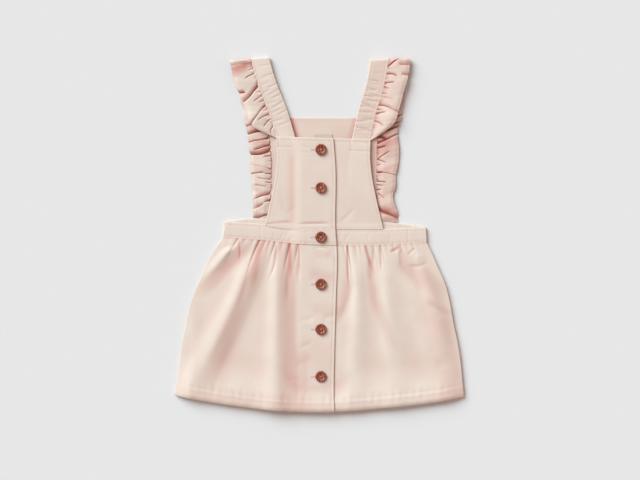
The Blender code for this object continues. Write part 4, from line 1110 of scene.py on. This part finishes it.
def blurred(values, steps):
    """The values of a grid, each replaced by the mean of its neighbours up to steps away, twice."""
    for axis in (0, 1):
        size = values.shape[axis]
        for _ in range(2):
            padded = np.pad(values, [(steps, steps) if k == axis else (0, 0) for k in (0, 1)], mode="edge")
            total = np.cumsum(padded, axis=axis)
            zero = np.zeros_like(np.take(total, [0], axis=axis))
            total = np.concatenate([zero, total], axis=axis)
            high = np.take(total, np.arange(2 * steps + 1, 2 * steps + 1 + size), axis=axis)
            values = (high - np.take(total, np.arange(size), axis=axis)) / (2 * steps + 1)
    return values


def even(count):
    """Shares from 0 to 1 at even steps."""
    return np.linspace(0.0, 1.0, count)


def steps_between(density, count):
    """Shares from 0 to 1 spaced closer where the density is greater."""
    share = even(400)
    reached = np.cumsum(density(share))
    reached = (reached - reached[0]) / (reached[-1] - reached[0])
    return np.interp(even(count), reached, share)


def flat_coordinates(points):
    """The cloth's own flat coordinates: the length of a grid's lines to each of its points, across from the
    middle column, and up or down from the first row."""
    m, n = points.shape[:2]
    step_u = np.linalg.norm(np.diff(points, axis=0), axis=-1)
    step_v = np.linalg.norm(np.diff(points, axis=1), axis=-1)
    u = np.concatenate([np.zeros((1, n)), np.cumsum(step_u, axis=0)])
    v = np.concatenate([np.zeros((m, 1)), np.cumsum(step_v, axis=1)], axis=1)
    return u - u[m // 2], v


def closed_wall(points, thick):
    """Corners and faces of a wall round a grid of points: the grid moved by half of thick to each side
    along its normal, and three rings of corners that lie on half a circle round its rim. Also gives the
    number of the grid's point that each corner belongs to."""
    m, n = points.shape[:2]
    along, up = np.gradient(points, axis=0), np.gradient(points, axis=1)
    half = (unit(np.cross(along, up)) * thick / 2).reshape(-1, 3)
    index = np.arange(m * n).reshape(m, n)
    rim = np.concatenate([index[:, 0], index[-1, 1:], index[-2::-1, -1], index[0, -2:0:-1]])
    outward = np.zeros_like(points)
    outward[0] -= unit(along[0])
    outward[-1] += unit(along[-1])
    outward[:, 0] -= unit(up[:, 0])
    outward[:, -1] += unit(up[:, -1])
    grid = points.reshape(-1, 3)
    out = unit(outward.reshape(-1, 3)[rim]) * np.linalg.norm(half[rim], axis=-1, keepdims=True)
    rings = [grid[rim] + out * cos(a) + half[rim] * sin(a) for a in (-0.9, 0.0, 0.9)]

    top = np.stack([index[:-1, :-1], index[1:, :-1], index[1:, 1:], index[:-1, 1:]], axis=-1).reshape(-1, 4)
    levels = [rim + m * n, *(2 * m * n + k * len(rim) + np.arange(len(rim)) for k in range(3)), rim]
    sides = [
        np.stack([low, np.roll(low, -1), np.roll(high, -1), high], axis=-1)
        for low, high in zip(levels[:-1], levels[1:])
    ]
    faces = np.concatenate([top, top[:, ::-1] + m * n, *sides])
    owner = np.concatenate([index.ravel(), index.ravel(), rim, rim, rim])
    return np.concatenate([grid + half, grid - half, *rings]), faces, owner


def cloth(name, surface, columns, rows, wall, finish, blur=6, hollow_shade=0.3, flush=None):
    """A closed wall of cloth round a surface. columns and rows are the shares at which the surface is read;
    wall is its thickness, or a function of the rows' shares. Its painted shade, pinker and darker, is how far
    a point lies below the mean of its neighbours, times a given share, with what the given function adds."""
    points = surface(columns[:, None], rows[None, :])
    u, v = flat_coordinates(points)
    inside = np.minimum(np.minimum(u - u[0], u[-1] - u), v[:, -1:] - v)
    # Painted shade: the deeper a point lies below its neighbours, the pinker and darker it is painted.
    depth = np.clip((blurred(points[..., 2], blur) - points[..., 2]) / HOLLOW_DEPTH, 0.0, 0.6)
    depth = hollow_shade * depth * smooth(*EDGE_CALM, inside)
    if flush is not None:
        depth = np.clip(depth + flush(points, columns[:, None], rows[None, :]), 0.0, 1.0)
    corners, faces, owner = closed_wall(points, wall(rows)[None, :, None] if callable(wall) else wall)
    mesh = bpy.data.meshes.new(name)
    fill_mesh(mesh, corners, faces, np.stack([u, v], axis=-1).reshape(-1, 2)[owner], depth.ravel()[owner])
    return placed(name, mesh, finish)


def on_surface(surface, a, b, lift):
    """Points just above a surface at the shares a and b, and the surface's normal there, turned up: lift
    is counted from the middle of the wall."""
    step = 0.0005
    along = surface(a + step, b) - surface(a - step, b)
    up = surface(a, b + step) - surface(a, b - step)
    normal = unit(np.cross(along, up))
    normal = normal * np.where(normal[..., 2:] < 0, -1.0, 1.0)
    return surface(a, b) + normal * lift, normal


def stitch_line(surface, a, b, lift, skip=0.0):
    """A row of stitches along the line (a, b) on a surface: middles, directions and normals, one for each
    pitch of the line's own length. skip is left free at both ends."""
    a, b = np.broadcast_arrays(np.asarray(a, float), np.asarray(b, float))
    points, _ = on_surface(surface, a, b, lift)
    reached = np.concatenate([[0.0], np.cumsum(np.linalg.norm(np.diff(points, axis=0), axis=-1))])
    middles = np.arange(skip + STITCH_PITCH / 2, reached[-1] - skip, STITCH_PITCH)
    ends = []
    for place in (middles - STITCH_LENGTH / 2, middles + STITCH_LENGTH / 2):
        ends.append(on_surface(surface, np.interp(place, reached, a), np.interp(place, reached, b), lift))
    (tail, tail_normal), (head, head_normal) = ends
    return (tail + head) / 2, head - tail, unit(tail_normal + head_normal)


def stitches(name, lines, width=STITCH_WIDTH, rise=STITCH_RISE):
    """Many stitches joined in one piece. Each is a small spindle of thread: a point at each end and two
    flattened rings of five corners between."""
    middle, span, normal = (np.concatenate(parts) for parts in zip(*lines))
    side = unit(np.cross(normal, span))
    turn = tau * np.arange(5) / 5
    ring = side[:, None] * np.cos(turn)[None, :, None] * width / 2
    ring = ring + normal[:, None] * np.sin(turn)[None, :, None] * rise
    tail = middle - span / 2 - normal * rise * 0.8
    head = middle + span / 2 - normal * rise * 0.8
    first = (middle - span * 0.28)[:, None] + ring
    second = (middle + span * 0.28)[:, None] + ring
    points = np.concatenate([tail[:, None], first, second, head[:, None]], axis=1)
    k = np.arange(5)
    after = (k + 1) % 5
    corners = [
        (0 * k, 1 + after, 1 + k),
        (1 + k, 1 + after, 6 + after),
        (1 + k, 6 + after, 6 + k),
        (6 + k, 6 + after, 0 * k + 11),
    ]
    tri = np.concatenate([np.stack(three, axis=-1) for three in corners])
    faces = (tri[None] + 12 * np.arange(len(points))[:, None, None]).reshape(-1, 3)
    mesh = bpy.data.meshes.new(name)
    fill_mesh(mesh, points.reshape(-1, 3), faces)
    piece = placed(name, mesh, thread_finish)
    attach(piece, "root")
    return piece


# ---------------------------------------------------------------- materials


def linear(hex_colour):
    """Linear red, green, blue and alpha of an sRGB hex colour."""
    parts = [int(hex_colour[k : k + 2], 16) / 255 for k in (1, 3, 5)]
    return (*(p / 12.92 if p <= 0.04045 else ((p + 0.055) / 1.055) ** 2.4 for p in parts), 1.0)


def add(material, kind, settings=None, **links):
    """Adds a node. settings sets its properties and the values of its inputs; links joins its inputs,
    named with _ for a space, or numbered after a _, to sockets of other nodes."""
    node = material.node_tree.nodes.new(kind)
    for key, value in (settings or {}).items():
        if isinstance(key, str) and hasattr(node, key):
            setattr(node, key, value)
        else:
            node.inputs[key].default_value = value
    for key, socket in links.items():
        target = node.inputs[int(key[1:])] if key[0] == "_" else node.inputs[key.replace("_", " ")]
        material.node_tree.links.new(socket, target)
    return node


def two_colours(first, second):
    """The settings of a Mix node between two colours."""
    return {"data_type": "RGBA", 6: linear(first), 7: linear(second)}


def shader_of(name):
    """A new material, its links and its main shader."""
    material = bpy.data.materials.new(name)
    material.use_nodes = True
    return material, material.node_tree.links, material.node_tree.nodes["Principled BSDF"]


def cotton_twill():
    """Brushed cotton twill: a matt pale pink that is whiter where light strikes it, with painted shade,
    pinker and darker, in its hollows, and with faint diagonal lines and a soft nap that catches light at the
    edges."""
    material, links, shader = shader_of("brushed_cotton_twill")
    grain = add(material, "ShaderNodeUVMap", {"uv_map": "grain"})
    place = add(material, "ShaderNodeTexCoord").outputs["Object"]
    # Real twill lines are about 0.7 mm apart; they are drawn 2.3 mm apart so that they show at all.
    turned = add(material, "ShaderNodeMapping", {"Rotation": (0, 0, radians(32))}, Vector=grain.outputs["UV"])
    weave = {"Scale": WAVES_PER_METRE / 2.3, "Distortion": 1.6, "Detail": 2.0, "Detail Scale": 1.5}
    twill = add(material, "ShaderNodeTexWave", weave, Vector=turned.outputs["Vector"])
    # The nap is about 0.5 mm long, drawn about 2 mm wide; the dye is uneven over about 35 mm.
    brushed = {"Scale": 1000 / 2.0, "Detail": 4.0, "Roughness": 0.65}
    nap = add(material, "ShaderNodeTexNoise", brushed, Vector=place)
    dyed = {"Scale": 1000 / 35.0, "Detail": 3.0, "Roughness": 0.55}
    dye = add(material, "ShaderNodeTexNoise", dyed, Vector=place)
    patchy = {"From Min": 0.35, "From Max": 0.65}
    patch = add(material, "ShaderNodeMapRange", patchy, Value=dye.outputs["Fac"])
    pale = two_colours("#E5D4C7", "#E9DACD")
    ground = add(material, "ShaderNodeMix", pale, _0=patch.outputs["Result"])
    # Painted shade: the attribute's first half takes the ground to a shaded pink, its second half to the
    # darkest.
    shade_tint = add(material, "ShaderNodeAttribute", {"attribute_name": "shade_tint"}).outputs["Fac"]
    half = add(material, "ShaderNodeMapRange", {"From Max": 0.5}, Value=shade_tint)
    shade_pink = {"data_type": "RGBA", "clamp_factor": True, 7: linear("#DAAA9E")}
    shaded = add(material, "ShaderNodeMix", shade_pink, _0=half.outputs["Result"], _6=ground.outputs[2])
    rest = add(material, "ShaderNodeMapRange", {"From Min": 0.5}, Value=shade_tint)
    darkest_shade = {"data_type": "RGBA", 7: linear("#AC655D")}
    deepest_shaded = add(material, "ShaderNodeMix", darkest_shade, _0=rest.outputs["Result"], _6=shaded.outputs[2])
    faint = {"To Min": 0.975, "To Max": 1.0}
    lines = add(material, "ShaderNodeMapRange", faint, Value=twill.outputs["Fac"])
    fluffy = {"From Min": 0.3, "From Max": 0.7, "To Min": 0.975, "To Max": 1.02}
    fluff = add(material, "ShaderNodeMapRange", fluffy, Value=nap.outputs["Fac"])
    times = {"operation": "MULTIPLY"}
    both = add(material, "ShaderNodeMath", times, _0=lines.outputs["Result"], _1=fluff.outputs["Result"])
    scaled = {"operation": "SCALE"}
    colour = add(material, "ShaderNodeVectorMath", scaled, _0=deepest_shaded.outputs[2], Scale=both.outputs["Value"])
    raised = {"operation": "MULTIPLY_ADD", 1: 0.6}
    height = add(material, "ShaderNodeMath", raised, _0=nap.outputs["Fac"], _2=twill.outputs["Fac"])
    bumpy = {"Strength": 0.12, "Distance": 0.0004}
    bump = add(material, "ShaderNodeBump", bumpy, Height=height.outputs["Value"])
    links.new(colour.outputs["Vector"], shader.inputs["Base Color"])
    links.new(bump.outputs["Normal"], shader.inputs["Normal"])
    shader.inputs["Roughness"].default_value = 0.92
    shader.inputs["Specular IOR Level"].default_value = 0.15
    shader.inputs["Sheen Weight"].default_value = 0.12
    shader.inputs["Sheen Roughness"].default_value = 0.5
    shader.inputs["Sheen Tint"].default_value = linear("#FFF1EA")
    return material


def cotton_thread():
    """Spun cotton sewing thread in the cloth's pink, a little warmer, with a faint twist along it."""
    material, links, shader = shader_of("spun_cotton_thread")
    place = add(material, "ShaderNodeTexCoord").outputs["Object"]
    twist = add(material, "ShaderNodeTexNoise", {"Scale": 1000 / 0.9, "Detail": 2.0}, Vector=place)
    colour = add(material, "ShaderNodeMix", two_colours("#DDBFB3", "#EAD4C9"), _0=twist.outputs["Fac"])
    links.new(colour.outputs[2], shader.inputs["Base Color"])
    shader.inputs["Roughness"].default_value = 0.7
    shader.inputs["Sheen Weight"].default_value = 0.15
    return material


def polyester_button():
    """Moulded polyester with brown and red marbling in its body, polished: dark streaks and lighter
    clouds under a gloss."""
    material, links, shader = shader_of("marbled_moulded_polyester")
    place = add(material, "ShaderNodeTexCoord").outputs["Object"]
    # Streaks about 3 mm wide, bent by clouds of about 5 mm.
    cloudy = {"Scale": 1000 / 5.0, "Detail": 4.0, "Roughness": 0.6, "Distortion": 1.2}
    clouds = add(material, "ShaderNodeTexNoise", cloudy, Vector=place)
    streaky = {"Scale": WAVES_PER_METRE / 3.0, "Distortion": 9.0, "Detail": 3.0}
    streaks = add(material, "ShaderNodeTexWave", streaky, Vector=place)
    stirred = {"operation": "MULTIPLY_ADD", 1: 0.35}
    mixed = add(material, "ShaderNodeMath", stirred, _0=streaks.outputs["Fac"], _2=clouds.outputs["Fac"])
    ramp = add(material, "ShaderNodeValToRGB", Fac=mixed.outputs["Value"])
    dark, light = ramp.color_ramp.elements
    dark.position, dark.color = 0.40, linear("#6B2B20")
    light.position, light.color = 0.95, linear("#B8705C")
    ramp.color_ramp.elements.new(0.66).color = linear("#944B3A")
    links.new(ramp.outputs["Color"], shader.inputs["Base Color"])
    shader.inputs["Roughness"].default_value = 0.32
    shader.inputs["Coat Weight"].default_value = 0.12
    shader.inputs["Specular IOR Level"].default_value = 0.3
    shader.inputs["Coat Roughness"].default_value = 0.15
    return material


def woven_tape():
    """White woven label tape, left bare: fine ribs across it, slightly glossy like satin."""
    material, links, shader = shader_of("white_woven_tape")
    grain = add(material, "ShaderNodeUVMap", {"uv_map": "grain"})
    # Ribs are about 0.3 mm apart; drawn 1 mm apart so that they show.
    ribbed = {"Scale": WAVES_PER_METRE / 1.0, "Distortion": 0.4}
    ribs = add(material, "ShaderNodeTexWave", ribbed, Vector=grain.outputs["UV"])
    # The tape's colours are off-white set a little darker still: painted shade.
    colour = add(material, "ShaderNodeMix", two_colours("#CABDAC", "#D4C7B7"), _0=ribs.outputs["Fac"])
    links.new(colour.outputs[2], shader.inputs["Base Color"])
    shader.inputs["Roughness"].default_value = 0.55
    return material


def studio_paper():
    """Matt pale grey paper under the garment, even and plain."""
    material, links, shader = shader_of("matt_grey_paper")
    place = add(material, "ShaderNodeTexCoord").outputs["Object"]
    tooth = add(material, "ShaderNodeTexNoise", {"Scale": 60.0, "Detail": 2.0}, Vector=place)
    colour = add(material, "ShaderNodeMix", two_colours("#E6E6E6", "#E8E8E8"), _0=tooth.outputs["Fac"])
    links.new(colour.outputs[2], shader.inputs["Base Color"])
    shader.inputs["Roughness"].default_value = 0.95
    shader.inputs["Specular IOR Level"].default_value = 0.1
    return material


twill_finish = cotton_twill()
thread_finish = cotton_thread()
button_finish = polyester_button()
tape_finish = woven_tape()


# ---------------------------------------------------------------- the garment


def sewn(name, surface, columns, rows, wall, cut, held, rests_on, area=None, finish=None, **look):
    """One piece of cloth of the garment: made, put under the root body and set in place of its solid, which
    is hidden.
    """
    piece = cloth(name + "_cloth", surface, columns, rows, wall, finish or twill_finish, **look)
    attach(piece, "root")
    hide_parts(name)
    return piece


def skirt_density(share):
    """How close together the skirt's rows are: closer at the gathers and at the hem."""
    return 1 + 2.2 * np.exp(-share / 0.12) + 1.6 * np.exp(-(1 - share) / 0.05)


def hem_wall(rows):
    """The skirt's wall down its length: thicker below the hem's stitches, where it is turned up twice."""
    thin_to, thick_from = 1 - (HEM_DEPTH + 1.5) / SKIRT_LENGTH, 1 - HEM_DEPTH / SKIRT_LENGTH
    return between(SKIRT_WALL, HEM_WALL, smooth(thin_to, thick_from, rows))


skirt_right = skirt_half(lap_edge, skirt_side_right, RIGHT_GATHERS, RIGHT_SKIRT_CREASES, lifted=True)
skirt_left = skirt_half(underlap_edge, skirt_side_left, LEFT_GATHERS, LEFT_SKIRT_CREASES, lifted=False)
waistband_right = band_half(band_side_right, lap_edge, lifted=True)
waistband_left = band_half(underlap_edge, band_side_left, lifted=False)
bib_right = bib_half(bib_side_right, lap_edge, lifted=True)
bib_left = bib_half(underlap_edge, bib_side_left, lifted=False)
strap_right = strap(RIGHT_RIBBON, 0.0)
strap_left = strap(LEFT_RIBBON, 1.2)
ruffle_right = ruffle(RIGHT_RIBBON, PETAL_HEIGHT)
ruffle_left = ruffle(LEFT_RIBBON, 3.2)


def make_cloth():
    """Every piece of cloth: its surface, its grid, its wall, its cut in millimetres and how it lies."""
    down = steps_between(skirt_density, 120)
    sewn("skirt_back", skirt_back, even(230), down, hem_wall, (385, 232), "laid", [])
    for name, surface, cut, flush in (
        ("skirt_right", skirt_right, (212, 232), skirt_flush(RIGHT_SKIRT_SHADES, False)),
        ("skirt_left", skirt_left, (218, 232), skirt_flush(LEFT_SKIRT_SHADES, True)),
    ):
        sewn(name, surface, even(210), down, hem_wall, cut, "gathered", ["skirt_back"], blur=9, flush=flush)
    sewn("waistband_back", band_back, even(150), even(14), BAND_WALL, (264, 28), "laid", [])
    for name, surface, columns, cut, flush in (
        ("waistband_right", waistband_right, even(150), (146, 20), even_flush(FRONT_BLUSH)),
        ("waistband_left", waistband_left, even(160), (162, 20), left_front_flush),
    ):
        sewn(name, surface, columns, even(20), BAND_WALL, cut, "laid", ["waistband_back"], flush=flush)
    sewn("bib_back", bib_back, even(110), even(90), BIB_WALL, (150, 136), "laid", [], flush=bib_back_flush)
    for name, surface, columns, cut, flush in (
        ("bib_right", bib_right, even(100), (90, 120), bib_right_flush),
        ("bib_left", bib_left, even(110), (106, 120), left_front_flush),
    ):
        sewn(name, surface, columns, even(110), BIB_WALL, cut, "laid", ["bib_back"], flush=flush)
    # The left strap gets an even painted shade, darker than the right one, as if less light reached it.
    for name, surface, flush in (
        ("strap_right", strap_right, None),
        ("strap_left", strap_left, even_flush(0.1)),
    ):
        sewn(name, surface, even(260), even(26), STRAP_WALL, (23, 205), "folded", ["bib_back"], flush=flush)
    # The last two numbers: painted shade in the pocket, and an even painted shade all over, more on the left
    # ruffle.
    for name, surface, strap_name, flush in (
        ("ruffle_right", ruffle_right, "strap_right", ruffle_flush(RIGHT_RIBBON, 0.3, -0.02)),
        ("ruffle_left", ruffle_left, "strap_left", ruffle_flush(LEFT_RIBBON, 0.42, 0.13)),
    ):
        look = {"hollow_shade": 1.0, "flush": flush}
        sewn(name, surface, even(760), even(34), RUFFLE_WALL, (500, 26), "gathered", [strap_name], **look)
    sewn("label", label, even(24), even(10), LABEL_WALL, (23, 12), "laid", ["bib_back"], finish=tape_finish)


def stitch_rows():
    """The rows of topstitching, piece by piece."""
    line = even(400)
    hem_share = 1 - HEM_DEPTH / SKIRT_LENGTH
    lift = SKIRT_WALL / 2 + 0.25
    skirt = [
        stitch_line(skirt_right, 0.01 + 0.97 * line, hem_share, lift, skip=2),
        stitch_line(skirt_left, 0.22 + 0.76 * line, hem_share, lift, skip=2),
        stitch_line(skirt_back, 0.01 + 0.98 * line, hem_share, lift, skip=2),
        stitch_line(skirt_right, 0.0235 - 0.006 * line, 0.01 + 0.93 * line, SKIRT_WALL / 2 + 0.15),
    ]
    stitches("skirt_stitches", skirt)
    lift = BAND_WALL / 2 + STITCH_LIFT
    band = []
    for surface, first, rows in (
        (waistband_right, 0.01, (0.13, 0.87)),
        (waistband_left, 0.28, (0.13, 0.87)),
        (band_back, 0.01, (0.12, 0.88)),
    ):
        for up in rows:
            band.append(stitch_line(surface, first + (0.99 - first) * line, up, lift, skip=1))
    stitches("waistband_stitches", band)
    lift = BIB_WALL / 2 + STITCH_LIFT
    top, back_top = 1 - BIB_TOP_INSET / BIB_HEIGHT, 1 - BACK_TOP_INSET / BACK_BIB_HEIGHT
    bib = [
        stitch_line(bib_right, 0.03 + 0.94 * line, top, lift),
        stitch_line(bib_left, 0.45 + 0.52 * line, top, lift),
        stitch_line(bib_right, 0.031, 0.02 + 0.95 * line, lift),
        stitch_line(bib_left, 0.972, 0.02 + 0.95 * line, lift),
        stitch_line(bib_right, 0.962, 0.02 + 0.95 * line, lift),
        stitch_line(bib_back, 0.03 + 0.94 * line, back_top, lift),
        stitch_line(bib_back, 0.021, 0.03 + 0.93 * line, lift),
        stitch_line(bib_back, 0.979, 0.03 + 0.93 * line, lift),
    ]
    stitches("bib_stitches", bib)
    straps = []
    for surface in (strap_right, strap_left):
        for across in (0.11, 0.89):
            straps.append(stitch_line(surface, 0.07 + 0.42 * line, across, STRAP_WALL / 2 + STITCH_LIFT))
    stitches("strap_stitches", straps)


def button_section_mesh():
    """One button, turned from its section, with four holes cut through it: its points in millimetres."""
    profile = bpy.data.meshes.new("button_profile")
    corners = [(turn.out, 0.0, turn.up) for turn in BUTTON_SECTION]
    profile.from_pydata(corners, [(i, i + 1) for i in range(len(corners) - 1)], [])
    blank = placed("button_blank", profile)
    turned = blank.modifiers.new("Turned", "SCREW")
    turned.steps = turned.render_steps = BUTTON_SIDES
    turned.use_merge_vertices = True
    turned.merge_threshold = 0.01
    turned.use_normal_calculate = True
    drill = bmesh.new()
    size = {"segments": 16, "radius1": BUTTON_HOLE_RADIUS, "radius2": BUTTON_HOLE_RADIUS, "depth": 8.0}
    for east in (-1, 1):
        for north in (-1, 1):
            place = Matrix.Translation((east * BUTTON_HOLE_OFFSET, north * BUTTON_HOLE_OFFSET, 0.0))
            bmesh.ops.create_cone(drill, cap_ends=True, matrix=place, **size)
    drill_mesh = bpy.data.meshes.new("button_drill")
    drill.to_mesh(drill_mesh)
    drill.free()
    cutter = placed("button_drill", drill_mesh)
    holes = blank.modifiers.new("Holes", "BOOLEAN")
    holes.operation = "DIFFERENCE"
    holes.object = cutter
    graph = bpy.context.evaluated_depsgraph_get()
    made = bpy.data.meshes.new_from_object(blank.evaluated_get(graph))
    bpy.data.objects.remove(blank)
    bpy.data.objects.remove(cutter)
    return made


def make_buttons():
    """Six buttons in their solids' places, each turned a little, with two stitches through its holes."""
    pattern = button_section_mesh()
    reach = 2 * (BUTTON_HOLE_OFFSET - 0.5 * BUTTON_HOLE_RADIUS)
    threads = []
    for number, (y, angle) in enumerate(zip(BUTTON_YS, BUTTON_TURNS), start=1):
        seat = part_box(f"button_{number}")[0][2] / MM
        mesh = pattern.copy()
        mesh.name = f"button_{number}_turned"
        place = Matrix.Translation((BUTTON_X * MM, y * MM, seat * MM))
        mesh.transform(place @ Matrix.Scale(MM, 4) @ Matrix.Rotation(angle, 4, "Z"))
        mesh.materials.clear()
        mesh.shade_smooth()
        mesh.set_sharp_from_angle(angle=0.7)
        piece = placed(f"button_{number}_turned", mesh, button_finish)
        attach(piece, "root")
        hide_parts(f"button_{number}")
        spin = np.array([[cos(angle), -sin(angle)], [sin(angle), cos(angle)]])
        for crossing in (-1, 1):
            east, north = spin @ np.array([reach, crossing * reach])
            thread = ((BUTTON_X, y, seat + THREAD_HEIGHT), (east, north, 0.0), (0.0, 0.0, 1.0))
            threads.append([np.array([part]) for part in thread])
    stitches("button_threads", threads, width=0.32, rise=0.16)


def shares_at(surface, xs, ys):
    """The shares at which a surface passes x and y, found by steps of correction."""
    a, b = np.full(xs.shape, 0.5), np.full(xs.shape, 0.5)
    for _ in range(12):
        here = surface(a, b)
        da = surface(a + 0.001, b) - here
        db = surface(a, b + 0.001) - here
        ex, ey = xs - here[..., 0], ys - here[..., 1]
        det = da[..., 0] * db[..., 1] - da[..., 1] * db[..., 0]
        a = np.clip(a + 0.001 * (ex * db[..., 1] - ey * db[..., 0]) / det, 0.0, 1.0)
        b = np.clip(b + 0.001 * (ey * da[..., 0] - ex * da[..., 1]) / det, 0.0, 1.0)
    return a, b


def make_strap_boxes():
    """The stitches through the bib that hold the straps' ends behind it: an open box for each."""
    lines = []
    for surface, corners in ((bib_right, RIGHT_STRAP_BOX), (bib_left, LEFT_STRAP_BOX)):
        for (x1, y1), (x2, y2) in zip(corners[:-1], corners[1:]):
            a, b = shares_at(surface, between(x1, x2, even(40)), between(y1, y2, even(40)))
            lines.append(stitch_line(surface, a, b, BIB_WALL / 2 + STITCH_LIFT))
    stitches("strap_box_stitches", lines)


def make_buttonholes():
    """Close stitches along the two sides of each buttonhole, which runs across beside its button."""
    fronts = [(bib_right, BIB_WALL)] * 2 + [(waistband_right, BAND_WALL)] + [(skirt_right, SKIRT_WALL)] * 3
    count = int(BUTTONHOLE_LENGTH / BAR_PITCH)
    xs = BUTTON_X - BUTTONHOLE_SHIFT + BUTTONHOLE_LENGTH * (np.arange(count) / (count - 1) - 0.5)
    lines = []
    for (surface, wall), y in zip(fronts, BUTTON_YS):
        for side in (-1, 1):
            a, b = shares_at(surface, xs, y + side * BUTTONHOLE_WIDTH / 4 + 0 * xs)
            points, normal = on_surface(surface, a, b, wall / 2 + 0.05)
            way = np.zeros_like(points)
            way[:, 1] = BUTTONHOLE_WIDTH / 2
            lines.append((points, way, normal))
    stitches("buttonhole_stitches", lines, width=0.75, rise=0.28)


make_cloth()
stitch_rows()
make_buttons()
make_buttonholes()
make_strap_boxes()


# ---------------------------------------------------------------- stage, light and camera


def make_floor():
    """One flat square of paper, which reaches past what the camera sees."""
    mesh = bpy.data.meshes.new("studio_floor")
    corners = [(-1, -1), (1, -1), (1, 1), (-1, 1)]
    mesh.from_pydata([(FLOOR_REACH * x, FLOOR_REACH * y, 0.0) for x, y in corners], [], [(0, 1, 2, 3)])
    floor = placed("studio_floor", mesh, studio_paper())


def make_light():
    """A large soft light from the upper left, and a warm even fill from the room."""
    lamp = bpy.data.lights.new("window_light", "SUN")
    lamp.energy = 3.1
    lamp.color = (0.97, 1.148, 1.235)
    lamp.angle = radians(42)
    key = placed("window_light", lamp)
    height = radians(33.5)  # of the light above the floor
    way = Vector((-0.68 * cos(height), 0.73 * cos(height), sin(height)))
    key.rotation_euler = way.to_track_quat("Z", "Y").to_euler()
    world = bpy.data.worlds.new("studio_room")
    world.use_nodes = True
    back = world.node_tree.nodes["Background"]
    back.inputs["Color"].default_value = (0.47, 0.374, 0.33, 1.0)
    back.inputs["Strength"].default_value = 1.0
    bpy.context.scene.world = world


def make_camera():
    """Straight down from above, as the photograph was taken."""
    lens = bpy.data.cameras.new("camera")
    lens.lens = 85
    lens.sensor_width = 36
    lens.clip_end = 20
    camera = placed("camera", lens)
    camera.location = (0.0, -0.0065, VIEW_WIDTH * lens.lens / lens.sensor_width)
    bpy.context.scene.camera = camera


make_floor()
make_light()
make_camera()
bpy.context.scene.view_settings.view_transform = "Standard"
